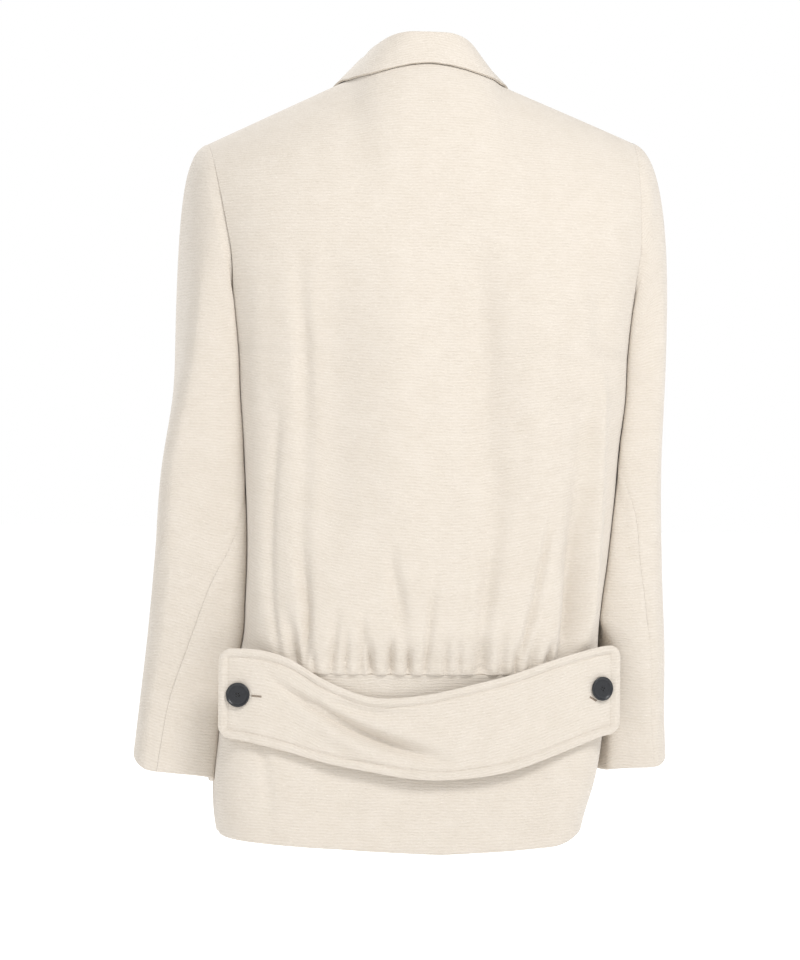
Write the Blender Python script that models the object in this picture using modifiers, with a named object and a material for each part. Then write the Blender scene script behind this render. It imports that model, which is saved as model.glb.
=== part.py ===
"""A single-breasted wool blazer with a gathered back and a buttoned half belt.

It keeps the hollow shape of a worn jacket. Metres, +Z up: the back faces +Y, the
fronts face -Y, and +X is the wearer's left. The origin lies between the shoulder
seams, at their mean height.
"""
import bmesh
import bpy
import numpy as np
from mathutils import Matrix, Vector
from mathutils.bvhtree import BVHTree

LEFT, RIGHT = 1, -1

# ---------------------------------------------------------------- driving sizes
WALL = 0.0022            # thickness of the wool cloth
SEAM = 0.00035           # gap between two pieces at a seam
SHOULDER_SEAM = 0.0006   # the same over the shoulders, where the cloth bends more
BELT_WALL = 0.0045       # the half belt is two layers of cloth

YOKE_Z = -0.140          # above this height the cloth turns over the shoulders
UNDERARM_Z = -0.247
WAIST_Z = -0.567         # seam between the gathered back and its band
HEM_Z = -0.747           # lowest point of the back's hem
HEM_LOWEST_X = -0.015    # and where it lies
HEM_RISE = 0.0115        # how much higher the hem is HEM_REACH away from there
HEM_REACH = 0.200
HEM_FRONT_Z = -0.752

NECK_POINT = (0.080, 0.010, 0.0385)      # shoulder seam at the neck, mirrored on the right
SHOULDER_TIPS = {                        # shoulder seam at the armhole; the right one
    LEFT: (0.222, 0.000, -0.0305),       # is carried higher
    RIGHT: (-0.222, 0.000, -0.0165),
}
ARMHOLE_BACK = 0.075     # how far the armhole reaches behind the shoulder seam
ARMHOLE_FRONT = 0.070    # and in front of it

OVERLAP = 0.022          # button stand past the centre front
FRONT_GAP = 0.0012       # between the two fronts there
BREAK_Z = -0.360         # where the lapels start to turn
FRONT_CORNER = 0.035     # radius of the fronts' lower corners

BICEPS_Z = -0.270        # lowest height of the sleeve head
CUFF_Z = {LEFT: -0.675, RIGHT: -0.672}
CUFF_TILT = 0.011        # a cuff is higher on its outer side by twice this

# ---------------------------------------------------------------- form of the body
# One row for each level of the body. The outline is boxier as the power grows.
BODY_COLUMNS = ("height", "half_width", "back", "front", "widest", "centre",
                "back_power", "front_power", "side_seam")
BODY = (
    (-0.140, 0.2275, 0.1265, -0.118, 0.010, -0.009, 2.8, 2.5, 0.000),
    (-0.195, 0.2140, 0.1300, -0.131, 0.015, -0.008, 2.8, 2.4, 0.000),
    (-0.247, 0.2050, 0.1300, -0.135, 0.022, -0.009, 2.8, 2.3, 0.003),
    (-0.292, 0.2005, 0.1290, -0.133, 0.032, -0.010, 2.8, 2.3, 0.026),
    (-0.333, 0.1950, 0.1280, -0.128, 0.038, -0.0095, 2.8, 2.3, 0.042),
    (-0.394, 0.1900, 0.1280, -0.121, 0.042, -0.009, 2.8, 2.3, 0.052),
    (-0.456, 0.1855, 0.1300, -0.119, 0.045, -0.0065, 2.8, 2.3, 0.057),
    (-0.500, 0.1830, 0.1330, -0.121, 0.045, -0.003, 2.8, 2.3, 0.057),
    (-0.532, 0.1820, 0.1305, -0.123, 0.044, -0.001, 3.0, 2.3, 0.056),
    (-0.552, 0.1835, 0.1215, -0.124, 0.043, 0.001, 3.5, 2.4, 0.055),
    (-0.567, 0.1865, 0.1130, -0.125, 0.041, 0.003, 4.6, 2.4, 0.054),
    (-0.600, 0.1935, 0.1130, -0.127, 0.036, 0.0065, 6.0, 2.5, 0.050),
    (-0.648, 0.1956, 0.1165, -0.130, 0.030, 0.0095, 5.6, 2.5, 0.046),
    (-0.700, 0.1940, 0.1205, -0.132, 0.026, 0.0145, 4.8, 2.5, 0.044),
    (-0.735, 0.1885, 0.1205, -0.132, 0.024, 0.0175, 4.2, 2.5, 0.043),
    (-0.752, 0.1850, 0.1195, -0.131, 0.024, 0.0180, 4.2, 2.5, 0.043),
)

# Back of the neck, from the centre back (0) to the neck point (1).
NECKLINE_COLUMNS = ("along", "x", "y", "z")
NECKLINE = (
    (0.00, 0.000, 0.0600, 0.0560),
    (0.35, 0.031, 0.0560, 0.0545),
    (0.70, 0.061, 0.0400, 0.0485),
    (1.00, 0.080, 0.0100, 0.0385),
)
NECK_SHARE = 1 / 3       # part of the back's top edge that is neckline

# The sleeves below their heads, measured from the body's centre plane: outer and inner
# side, then the depth of their middle, back and front, and how far they lean outward
# toward their back. Their outline is boxier as the power grows.
SLEEVE_POWER = 2.6
SLEEVE_COLUMNS = ("height", "outer", "inner", "middle", "back", "front", "lean")
SLEEVES = {
    LEFT: (
        (-0.270, 0.2520, 0.1960, -0.014, 0.068, -0.092, 0.00),
        (-0.360, 0.2595, 0.1775, -0.024, 0.064, -0.088, 0.18),
        (-0.460, 0.2660, 0.1715, -0.030, 0.060, -0.080, 0.18),
        (-0.543, 0.2730, 0.1755, -0.030, 0.056, -0.070, 0.18),
        (-0.600, 0.2793, 0.1955, -0.026, 0.052, -0.063, 0.18),
        (-0.650, 0.2853, 0.2020, -0.022, 0.050, -0.059, 0.18),
        (-0.690, 0.2901, 0.2050, -0.020, 0.048, -0.056, 0.18),
    ),
    RIGHT: (
        (-0.270, 0.2560, 0.2150, -0.012, 0.070, -0.090, 0.00),
        (-0.360, 0.2490, 0.2020, -0.006, 0.078, -0.084, 0.04),
        (-0.460, 0.2520, 0.1895, -0.006, 0.080, -0.072, 0.04),
        (-0.543, 0.2573, 0.1840, -0.006, 0.078, -0.064, 0.04),
        (-0.620, 0.2600, 0.1890, -0.004, 0.070, -0.058, 0.04),
        (-0.690, 0.2658, 0.1950, -0.002, 0.062, -0.053, 0.04),
    ),
}
HEAD_FULLNESS = {LEFT: 1.05, RIGHT: 1.30}
# How the sleeve leaves the armhole, by the angle round it: 0 on top, 90 behind.
HEAD_COLUMNS = ("angle", "outward", "down")
HEAD = (
    (0, 0.110, 0.030),
    (45, 0.080, 0.045),
    (90, 0.050, 0.050),
    (135, 0.030, 0.030),
    (180, 0.018, 0.010),
)
# Back seam of each sleeve, by the share of its length below the head.
SEAM_COLUMNS = ("along", "angle")
SEAM_TOP = 132
BACK_SEAM = {
    LEFT: ((-1.0, SEAM_TOP), (0.0, 150), (0.2, 152), (0.33, 133), (0.48, 112), (0.63, 99),
           (0.8, 92), (1.0, 88)),
    RIGHT: ((-1.0, SEAM_TOP), (0.0, 148), (0.126, 130), (0.267, 96), (0.5, 80), (1.0, 72)),
}
FRONT_SEAM_ANGLE = -132

SEAM_EDGE = 0.40         # degrees from a sleeve's seam to the panel's edge
SEAM_MARGIN = 2.5        # and on to the next column, which keeps the edge square
SLEEVE_ROWS = (1.0, 0.84, 0.66, 0.46, 0.24, 0.0, -0.3, -0.6, -0.84, -0.985, -1.0)

# Rows that the body's panels share where they meet each other and the sleeves.
BAND_HEIGHTS = (-0.7120, -0.6600, -0.6000)
SIDE_HEIGHTS = (-0.430, -0.360, -0.310, -0.275)
ARMHOLE_ANGLES = (180, 156, 132, 110, 90)        # underarm up to the yoke level
NEAR_SHOULDER = 3                                # row that keeps the shoulder seam square
YOKE_ANGLES = (72, 54, 36, 18, NEAR_SHOULDER, 0) # and on to the shoulder seam

# Gathers over the waist seam, by the share of the back's cloth from its middle (0)
# to a side seam (1 on the left), with how far they sink in and how high they run.
GATHERS = (  # share, depth, height
    (-0.660, 0.0075, 0.150),
    (-0.535, 0.0060, 0.110),
    (-0.420, 0.0080, 0.130),
    (-0.310, 0.0080, 0.080),
    (-0.200, 0.0045, 0.060),
    (-0.010, 0.0040, 0.050),
    (0.105, 0.0060, 0.055),
    (0.215, 0.0085, 0.070),
    (0.390, 0.0050, 0.050),
    (0.515, 0.0065, 0.095),
    (0.630, 0.0080, 0.075),
)
GATHER_PUFF = 0.0012     # how far the cloth between two gathers stands out
PUFF_HEIGHT = 0.080
GATHER_ROWS = (0.0, 0.010, 0.026, 0.052, 0.090)  # back's rows above the waist seam
SIDE_COLUMNS = (0.72, 0.80, 0.865, 0.92, 0.96, 0.99, 1.00)

# ---------------------------------------------------------------- collar and lapels
# Half of the collar, centre back first: the fold, and the free edge in plan. The
# stand rises from the neck to the fold, and the fall comes down to the free edge.
COLLAR_COLUMNS = ("along", "fold_x", "fold_y", "fold_z", "edge_x", "edge_y")
COLLAR = (
    (0.00, 0.0000, 0.0525, 0.0842, 0.0000, 0.0740),
    (0.16, 0.0220, 0.0490, 0.0836, 0.0330, 0.0700),
    (0.32, 0.0410, 0.0365, 0.0788, 0.0650, 0.0540),
    (0.50, 0.0560, 0.0110, 0.0680, 0.0930, 0.0180),
    (0.66, 0.0630, -0.0170, 0.0500, 0.1080, -0.0170),
    (0.83, 0.0665, -0.0500, 0.0220, 0.1130, -0.0560),
    (1.00, 0.0620, -0.0830, -0.0240, 0.1080, -0.0880),
)
COLLAR_SEAT = 0.0010             # gap under the stand
COLLAR_DROP = 0.030              # height of the fall before it is laid on the cloth
FALL_SHARES = (0.35, 0.7, 1.0)   # rows of the fall, from the fold to the free edge
FOLD_RADIUS = 0.0034
GORGE_TURN = 0.40                # share of the yoke where lapel and collar meet
GORGE_GAP = 0.05                 # share of the yoke between them
COLLAR_LIFT = 0.0023             # clearance under the collar's fall
CLOTH_LIFT = 0.0010              # and under the lapels

# Lapel width along the front edge, from the break (0) to the gorge (1).
LAPEL_COLUMNS = ("along", "width")
LAPEL = ((0.00, 0.002), (0.10, 0.018), (0.35, 0.047), (0.70, 0.076), (0.92, 0.094),
         (1.00, 0.092))
LAPEL_START_Z = -0.352
LAPEL_CLEAR = 0.0015             # the left lapel starts this far from the right front

# ---------------------------------------------------------------- half belt
# Edges of the belt along it, wearer's left first, with their places in depth.
BELT_COLUMNS = ("x", "top", "bottom", "top_depth", "bottom_depth")
BELT = (
    (0.2085, -0.5455, -0.6335, 0.0975, 0.1015),
    (0.1930, -0.5445, -0.6345, 0.1025, 0.1065),
    (0.1730, -0.5450, -0.6385, 0.1085, 0.1135),
    (0.1450, -0.5515, -0.6450, 0.1150, 0.1180),
    (0.1020, -0.5755, -0.6570, 0.1205, 0.1225),
    (0.0600, -0.5905, -0.6650, 0.1240, 0.1255),
    (0.0060, -0.5885, -0.6730, 0.1275, 0.1285),
    (-0.0400, -0.5785, -0.6715, 0.1280, 0.1285),
    (-0.0840, -0.5670, -0.6640, 0.1260, 0.1265),
    (-0.1270, -0.5525, -0.6495, 0.1200, 0.1200),
    (-0.1600, -0.5435, -0.6370, 0.1115, 0.1130),
    (-0.1800, -0.5395, -0.6305, 0.1035, 0.1060),
    (-0.1980, -0.5385, -0.6275, 0.0975, 0.1000),
)
BELT_CORNER = 0.012

# ---------------------------------------------------------------- buttons
BUTTON_RADIUS = 0.0122
BUTTON_EDGE = 0.0030
BUTTON_RIM = 0.0022      # width of the raised rim
BUTTON_DISH = 0.0010     # depth of the dished face
SHANK_RADIUS = 0.0017
BUTTON_GAP = 0.0006      # under the button and at the end of its shank
BELT_BUTTONS = {         # x and height
    "belt_button_left": (0.1890, -0.5905),
    "belt_button_right": (-0.1775, -0.5825),
}
FRONT_BUTTONS = {"front_button_upper": -0.380, "front_button_lower": -0.495}
BUTTONHOLE = (0.024, 0.0044, 0.030)      # length, height, depth of the cut
BUTTONHOLE_START = 0.004                 # how far the hole starts before the shank

# ---------------------------------------------------------------- colours
CREAM = (0.83, 0.76, 0.65, 1.0)
NAVY = (0.035, 0.038, 0.042, 1.0)


# ================================================================ small helpers
def column(table, columns, name, at):
    """Smooth curve through one named column of a table, read at the places given."""
    rows = np.array(table, float)
    rows = rows[np.argsort(rows[:, 0])]
    x, y = rows[:, 0], rows[:, columns.index(name)]
    slope = np.gradient(y, x)
    at = np.clip(np.asarray(at, float), x[0], x[-1])
    i = np.clip(np.searchsorted(x, at) - 1, 0, len(x) - 2)
    step = x[i + 1] - x[i]
    t = (at - x[i]) / step
    near = y[i] * (1 + 2 * t) * (1 - t) ** 2 + slope[i] * step * t * (1 - t) ** 2
    far = y[i + 1] * t ** 2 * (3 - 2 * t) + slope[i + 1] * step * t ** 2 * (t - 1)
    return near + far


def ramp(value, start, end):
    """0 before start, 1 after end, eased between."""
    t = np.clip((value - start) / (end - start), 0, 1)
    return t * t * (3 - 2 * t)


def mix(a, b, share):
    return a + (b - a) * share


def point_grid(name, points, wall, material, flip=False, offset=-1.0):
    """A cloth piece: a grid through rows of points, given its wall by Solidify."""
    rows, columns = points.shape[:2]
    bm = bmesh.new()
    bmesh.ops.create_grid(bm, x_segments=columns - 1, y_segments=rows - 1, size=0.5)
    for vert, place in zip(bm.verts, points.reshape(-1, 3)):
        vert.co = place
    if flip:
        bmesh.ops.reverse_faces(bm, faces=bm.faces)
    piece = finish(name, bm, material)
    solid = piece.modifiers.new("wall", "SOLIDIFY")
    solid.thickness = wall
    solid.offset = offset
    return piece


def finish(name, bm, material):
    mesh = bpy.data.meshes.new(name)
    bm.to_mesh(mesh)
    bm.free()
    mesh.materials.append(material)
    mesh.shade_smooth()
    piece = bpy.data.objects.new(name, mesh)
    JACKET.objects.link(piece)
    return piece


def surface_normals(points):
    """Unit normals of a grid of points, rows by columns."""
    across = np.gradient(points, axis=1)
    along = np.gradient(points, axis=0)
    normal = np.cross(across, along)
    return normal / np.linalg.norm(normal, axis=2, keepdims=True)


# ================================================================ body outline
def body_value(name, z):
    return column(BODY, BODY_COLUMNS, name, z)


def body_ring(z, angle, side):
    """Outline of the body at height z: 0 is the centre back, 180 the centre front."""
    sine, cosine = np.sin(angle), np.cos(angle)
    behind = cosine >= 0
    widest = body_value("widest", z)
    depth = np.where(behind, body_value("back", z) - widest, widest - body_value("front", z))
    power = np.where(behind, body_value("back_power", z), body_value("front_power", z))
    width = body_value("half_width", z)
    reach = ((np.abs(sine) / width) ** power + (np.abs(cosine) / depth) ** power) ** (-1 / power)
    x = body_value("centre", z) + side * reach * sine
    y = widest + reach * cosine
    return np.stack([x, y, z + 0 * x], -1)


def angle_at_depth(z, y):
    """Angle where the outline's side passes through the depth y."""
    widest = body_value("widest", z)
    if y >= widest:
        depth, power = body_value("back", z) - widest, body_value("back_power", z)
    else:
        depth, power = widest - body_value("front", z), body_value("front_power", z)
    share = (1 - (abs(y - widest) / depth) ** power) ** (1 / power)
    return np.arctan2(body_value("half_width", z) * share, y - widest)


def angle_at_front(z, distance):
    """Angle of the front's point at this distance from the centre plane."""
    width, power = body_value("half_width", z), body_value("front_power", z)
    depth = body_value("widest", z) - body_value("front", z)
    share = (1 - (abs(distance) / width) ** power) ** (1 / power)
    return np.arctan2(distance, -depth * share) % (2 * np.pi)


def even_row(z, start, end, shares, side, gap_start=0.0, gap_end=0.0):
    """Points of the outline between two angles, evenly spaced by cloth length."""
    angles = np.linspace(start, end, 161)
    points = body_ring(z, angles, side)
    length = np.r_[0, np.cumsum(np.linalg.norm(np.diff(points, axis=0), axis=1))]
    wanted = mix(gap_start, length[-1] - gap_end, np.asarray(shares))
    return body_ring(z, np.interp(wanted, length, angles), side)


def armhole_depth(z, reach):
    """Depth of the armhole's lower half at height z, as a share of an ellipse."""
    drop = min(1.0, (YOKE_Z - z) / (YOKE_Z - UNDERARM_Z))
    return reach * np.sqrt(max(0.0, 1 - drop ** 2))


def back_edge_angle(z):
    seam = float(body_value("side_seam", z))
    if z > UNDERARM_Z:
        seam = max(seam, armhole_depth(z, ARMHOLE_BACK))
    return angle_at_depth(z, seam)


def front_edge_angle(z):
    if z > UNDERARM_Z:
        return angle_at_depth(z, min(float(body_value("side_seam", z)),
                                     -armhole_depth(z, ARMHOLE_FRONT)))
    return angle_at_depth(z, float(body_value("side_seam", z)))


def turned_over(top, level, share, power):
    """Curve from the ring at the yoke level (share 0) over to the top line (share 1)."""
    quarter = (1 - share) * np.pi / 2
    out = np.sin(quarter) ** (2 / power)
    fall = 1 - np.cos(quarter) ** (2 / power)
    x = mix(top[..., 0], level[..., 0], fall)
    y = mix(top[..., 1], level[..., 1], out)
    z = mix(top[..., 2], level[..., 2], fall)
    return np.stack([x, y, z], -1)


# ================================================================ back and band
def back_top_line(shares):
    """Neckline and shoulder seams: -1 and 1 are the shoulder tips."""
    size = np.abs(shares)
    side = np.where(shares < 0, RIGHT, LEFT)
    neck = [column(NECKLINE, NECKLINE_COLUMNS, axis, size / NECK_SHARE) for axis in "xyz"]
    neck[0] = neck[0] * side
    tips = np.where(shares < 0, np.array(SHOULDER_TIPS[RIGHT])[:, None],
                    np.array(SHOULDER_TIPS[LEFT])[:, None])
    start = np.array(NECK_POINT)[:, None] * np.stack([side, 1 + 0 * side, 1 + 0 * side])
    slope = np.clip((size - NECK_SHARE) / (1 - NECK_SHARE), 0, 1)
    line = np.where(size < NECK_SHARE, neck, mix(start, tips, slope)).T
    line[:, 1] += SHOULDER_SEAM / 2
    return line


def back_columns():
    """Shares of the back's columns, and how far each one sinks in at the waist seam."""
    troughs = np.array(GATHERS)
    ridges = (troughs[1:, 0] + troughs[:-1, 0]) / 2
    sides = [side * share for side in (LEFT, RIGHT) for share in SIDE_COLUMNS]
    columns = [*troughs]
    columns += [(share, -GATHER_PUFF, PUFF_HEIGHT) for share in ridges]
    columns += [(share, 0.0, PUFF_HEIGHT) for share in sides]
    return np.array(sorted(map(tuple, columns))).T


def body_row_back(z, shares):
    """One level row of the back, from the right side (-1) to the left (1)."""
    edge = back_edge_angle(z)
    left = even_row(z, 0.0, edge, np.clip(shares, 0, 1), LEFT, gap_end=SEAM / 2)
    right = even_row(z, 0.0, edge, np.clip(-shares, 0, 1), RIGHT, gap_end=SEAM / 2)
    return np.where((shares >= 0)[:, None], left, right)


def back_points(shares, depths, rises, heights, turns):
    """The back: level rows up to the yoke, then rows turned over the shoulders."""
    rows = []
    for z in heights:
        row = body_row_back(z, shares)
        row[:, 1] -= depths * (1 - ramp(z - WAIST_Z, 0.15 * rises, rises))
        rows.append(row)
    level, top = body_row_back(YOKE_Z, shares), back_top_line(shares)
    power = mix(1.5, 2.0, np.abs(shares))
    rows += [turned_over(top, level, turn, power) for turn in turns]
    return np.array(rows)


def armhole_heights():
    """Heights of the armhole's lower half at its angles, 180 at the underarm."""
    fall = np.cos(np.radians(ARMHOLE_ANGLES))
    return list(YOKE_Z + (YOKE_Z - UNDERARM_Z) * fall)


def yoke_turns():
    return 1 - np.array(YOKE_ANGLES) / 90


def hem_height(points):
    """The back's hem is lowest near its middle, and the fronts' at the centre front."""
    away = np.abs(points[:, 0] - HEM_LOWEST_X) / HEM_REACH
    back = HEM_Z + HEM_RISE * away ** 1.3
    return mix(back, HEM_FRONT_Z, ramp(-points[:, 1], -0.04, 0.10))


def hang_to_hem(row, z):
    """Bend a level row below the waist so that the last one follows the hem."""
    share = (WAIST_Z - z) / (WAIST_Z - HEM_Z)
    row[:, 2] += (hem_height(row) - HEM_Z) * max(0.0, share)
    return row


def make_back(cloth):
    shares, depths, rises = back_columns()
    above_seam = WAIST_Z + SEAM + np.array(GATHER_ROWS)
    heights = [*above_seam, *SIDE_HEIGHTS, *armhole_heights()]
    points = back_points(shares, depths, rises, heights, yoke_turns())
    return point_grid("back", points, WALL, cloth, flip=True)


def make_back_band(cloth):
    inner = np.linspace(-0.94, 0.94, 21)
    shares = np.r_[-1.0, -0.985, inner, 0.985, 1.0]
    top = WAIST_Z - SEAM / 2
    rows = []
    for z in (HEM_Z, *BAND_HEIGHTS, top):
        rows.append(hang_to_hem(body_row_back(z, shares), z))
    return point_grid("back_band", np.array(rows), WALL, cloth, flip=True)


# ================================================================ fronts
FRONT_HEIGHTS = (HEM_Z + 0.0005, -0.7390, -0.7270, *BAND_HEIGHTS, WAIST_Z, -0.5150, -0.4770)
FRONT_SHARES = (0, 0.008, 0.05, 0.11, 0.18, 0.26, 0.35, 0.45, 0.55, 0.65, 0.75, 0.85, 0.93, 1)


def front_edge(z):
    """Distance of a front's free edge from the centre front, at a height."""
    roll = mix(-OVERLAP, NECK_POINT[0], (z - BREAK_Z) / (NECK_POINT[2] - BREAK_Z))
    corner_start = HEM_Z + FRONT_CORNER
    below = np.clip((corner_start - z) / FRONT_CORNER, 0, 0.999)
    corner = -OVERLAP + FRONT_CORNER * (1 - np.sqrt(1 - below ** 2))
    return float(roll if z > BREAK_Z else corner)


def front_row(z, shares, side):
    """One level row of a front, from its side seam or armhole (0) to its edge (1)."""
    start = front_edge_angle(z)
    end = angle_at_front(z, front_edge(z))
    return even_row(z, start, end, shares, side, gap_start=SEAM / 2)


def tuck_under(rows, side):
    """The left front lies under the right one where they overlap."""
    if side == LEFT:
        near = ramp(-rows[..., 0], -0.065, -0.030) * ramp(-rows[..., 1], 0.05, 0.09)
        rows[..., 1] += near * (WALL + FRONT_GAP) * ramp(-rows[..., 2], 0.190, 0.255)
    return rows


def front_points(side, shares, heights, turns):
    rows = [front_row(z, shares, side) for z in heights]
    near_neck = np.array(NECK_POINT) * (side, 1, 1)
    top = mix(np.array(SHOULDER_TIPS[side]), near_neck, shares[:, None])
    top[:, 1] -= SHOULDER_SEAM / 2
    level = front_row(YOKE_Z, shares, side)
    power = mix(2.0, 1.6, shares)
    rows += [turned_over(top, level, turn, power) for turn in turns]
    return tuck_under(np.array(rows), side)


def make_front(name, side, cloth):
    heights = [*FRONT_HEIGHTS, *SIDE_HEIGHTS, *armhole_heights()]
    points = front_points(side, np.array(FRONT_SHARES), heights, yoke_turns())
    for row, z in zip(points, FRONT_HEIGHTS):
        hang_to_hem(row, z)
    return point_grid(name, points, WALL, cloth, flip=side == LEFT)


# ================================================================ sleeves
def armhole_point(side, angle):
    """The armhole seam: 0 on the shoulder, 90 behind, 180 underarm, -90 in front."""
    behind = np.sin(angle) >= 0
    reach = ARMHOLE_BACK if behind else ARMHOLE_FRONT
    y = reach * np.sin(angle)
    level = body_ring(YOKE_Z, angle_at_depth(YOKE_Z, reach if behind else -reach), side)
    if np.cos(angle) >= 0:
        top = SHOULDER_TIPS[side]
        fall = 1 - np.cos(angle)
        return np.array((mix(top[0], level[0], fall), y, mix(top[2], YOKE_Z, fall)))
    z = YOKE_Z + (YOKE_Z - UNDERARM_Z) * np.cos(angle)
    return body_ring(z, angle_at_depth(z, y), side)


def sleeve_ring(side, angle, z):
    """Outline of a sleeve below its head: 0 is its outer side, 90 its back."""
    read = {name: column(SLEEVES[side], SLEEVE_COLUMNS, name, z) for name in SLEEVE_COLUMNS}
    centre, half = (read["outer"] + read["inner"]) / 2, (read["outer"] - read["inner"]) / 2
    cosine, sine = (np.sign(v) * np.abs(v) ** (2 / SLEEVE_POWER)
                    for v in (np.cos(angle), np.sin(angle)))
    behind = np.where(sine > 0, read["back"] - read["middle"], read["middle"] - read["front"])
    x = side * (centre + half * cosine + read["lean"] * behind * sine)
    return np.array((x, read["middle"] + behind * sine, z))


def sleeve_point(side, angle, along):
    """A point of a sleeve: along -1 at the armhole, 0 under the head, 1 at the cuff."""
    if along >= 0:
        cuff = CUFF_Z[side] + CUFF_TILT * np.cos(angle)
        return sleeve_ring(side, angle, mix(BICEPS_Z, cuff, along))
    start, end = armhole_point(side, angle), sleeve_ring(side, angle, BICEPS_Z)
    degrees = abs(np.degrees((angle + np.pi) % (2 * np.pi) - np.pi))
    outward = column(HEAD, HEAD_COLUMNS, "outward", degrees) * HEAD_FULLNESS[side]
    down = column(HEAD, HEAD_COLUMNS, "down", degrees)
    leave = np.array((side * outward, 0.0, -down))
    arrive = sleeve_ring(side, angle, BICEPS_Z - 0.01) - end
    arrive *= (start[2] - end[2]) / 0.01
    t = 1 + along
    start = start + leave / np.linalg.norm(leave) * SEAM * (1 - t)
    return (start * (1 + 2 * t) * (1 - t) ** 2 + leave * t * (1 - t) ** 2
            + end * t ** 2 * (3 - 2 * t) + arrive * t ** 2 * (t - 1))


def panel_angles(side, under, along, edge):
    """Angles of a panel's columns, which meet the body's rows at the armhole."""
    behind = float(column(BACK_SEAM[side], SEAM_COLUMNS, "angle", along))
    around = [a for a in (*ARMHOLE_ANGLES, *YOKE_ANGLES) if a != NEAR_SHOULDER]
    low = [a for a in around if a >= SEAM_TOP]
    high = [a for a in around if a <= SEAM_TOP]
    if under:
        at_armhole = np.array(low[::-1] + [360 - a for a in low[1:]], float)
        front = 360 + FRONT_SEAM_ANGLE
    else:
        at_armhole = np.array(high + [-a for a in high[-2::-1]], float)
        front = FRONT_SEAM_ANGLE
    even = np.linspace(behind, front, len(at_armhole))
    angles = mix(even, at_armhole, np.clip(-along, 0, 1))
    step = np.sign(front - behind)
    gap, near = step * edge, step * (edge + SEAM_MARGIN)
    ends = (angles[0] + gap, angles[0] + near, *angles[1:-1], angles[-1] - near, angles[-1] - gap)
    return np.radians(ends)


def sleeve_panel(name, side, under, cloth):
    """One of a sleeve's two panels, between its back seam and its front seam."""
    rows = []
    for along in SLEEVE_ROWS:
        angles = panel_angles(side, under, along, SEAM_EDGE)
        rows.append([sleeve_point(side, angle, along) for angle in angles])
    return point_grid(name, np.array(rows), WALL, cloth, flip=(side == RIGHT) == under)


# ================================================================ lapels and collar
def lapel_width(z):
    top = float(front_neck_edge(LEFT, GORGE_TURN)[2])
    along = (z - BREAK_Z) / (top - BREAK_Z)
    return float(column(LAPEL, LAPEL_COLUMNS, "width", along))


def front_neck_edge(side, turn):
    """The front panel's free edge above the yoke level, up to the neck point."""
    level = front_row(YOKE_Z, np.array([1.0]), side)[0]
    top = np.array(NECK_POINT) * (side, 1, 1) - (0, SHOULDER_SEAM / 2, 0)
    return turned_over(top, level, turn, 1.6)


def lapel_points(side):
    """The lapel lies on the front panel's own rows, moved out."""
    heights = [LAPEL_START_Z, *SIDE_HEIGHTS[2:], *armhole_heights()]
    if side == LEFT:
        heights = heights[1:]
    turns = (mix(0, GORGE_TURN, 0.5), GORGE_TURN)
    full = front_points(side, np.linspace(0, 1, 141), heights, turns)
    normals = surface_normals(full) * -side
    lifted = full + normals * (WALL + CLOTH_LIFT)
    return np.array([lapel_row(row, side) for row in lifted])


def lapel_row(row, side):
    """The part of a front's row that its lapel covers, from the roll line outward."""
    edge = row[::-1]
    length = np.r_[0, np.cumsum(np.linalg.norm(np.diff(edge, axis=0), axis=1))]
    hidden = max(0.0, -2 * front_edge(edge[0, 2]) + LAPEL_CLEAR) if side == LEFT else 0.0
    wanted = np.linspace(hidden, lapel_width(edge[0, 2]), 5)
    return np.stack([np.interp(wanted, length, edge[:, k]) for k in range(3)], -1)


def make_lapel(name, side, cloth):
    return point_grid(name, lapel_points(side), WALL, cloth, flip=side == RIGHT)


def collar_seam(along, side):
    """Where the stand rises: along the back of the neck, then down the front edge."""
    if along <= 0.5:
        place = back_top_line(np.array([2 * along * NECK_SHARE * side]))[0]
    else:
        turn = mix(1.0, GORGE_TURN + GORGE_GAP, 2 * along - 1)
        place = front_neck_edge(side, turn)
    return place + (0, 0, COLLAR_SEAT)


def collar_profile(along, side):
    """One section of the folded collar, from the neck seam over the fold to the edge."""
    read = {name: float(column(COLLAR, COLLAR_COLUMNS, name, along)) for name in COLLAR_COLUMNS}
    seam = collar_seam(along, side)
    fold = np.array([side * read["fold_x"], read["fold_y"], read["fold_z"]])
    edge = np.array([side * read["edge_x"], read["edge_y"], fold[2] - COLLAR_DROP])
    up, down = fold - seam, edge - fold
    outward = down - up * (down @ up) / (up @ up)
    outward /= np.linalg.norm(outward)
    rise = up / np.linalg.norm(up)
    middle = fold + outward * FOLD_RADIUS - rise * FOLD_RADIUS
    turn = [middle + FOLD_RADIUS * (-outward * np.cos(a) + rise * np.sin(a))
            for a in np.radians((0, 50, 100, 150))]
    fall = [mix(turn[-1], edge, share) for share in FALL_SHARES]
    return np.array([seam, mix(seam, turn[0], 0.5), *turn, *fall])


def make_collar(cloth, body):
    stations = np.linspace(0, 1, 10)
    right = [collar_profile(s, RIGHT) for s in stations[:0:-1]]
    left = [collar_profile(s, LEFT) for s in stations]
    points = rest_on(np.array(right + left), body, WALL + COLLAR_LIFT)
    return point_grid("collar", points, WALL, cloth, flip=True)


def rest_on(points, body, clearance):
    """Lay the collar's free edge on the cloth below, and clear it under the fall."""
    rows = len(FALL_SHARES)
    for row in points:
        for number in range(1, rows + 1):
            place = row[-number]
            hit, normal = body.ray_cast(Vector((place[0], place[1], 0.3)), Vector((0, 0, -1)))[:2]
            if hit is None:
                continue
            lowest = hit.z + clearance / max(0.35, abs(normal.z))
            if number == 1:
                place[2] = lowest
                row[-rows:-1] = mix(row[-rows - 1], place, np.array(FALL_SHARES[:-1])[:, None])
            place[2] = max(place[2], lowest)
    return points


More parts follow.
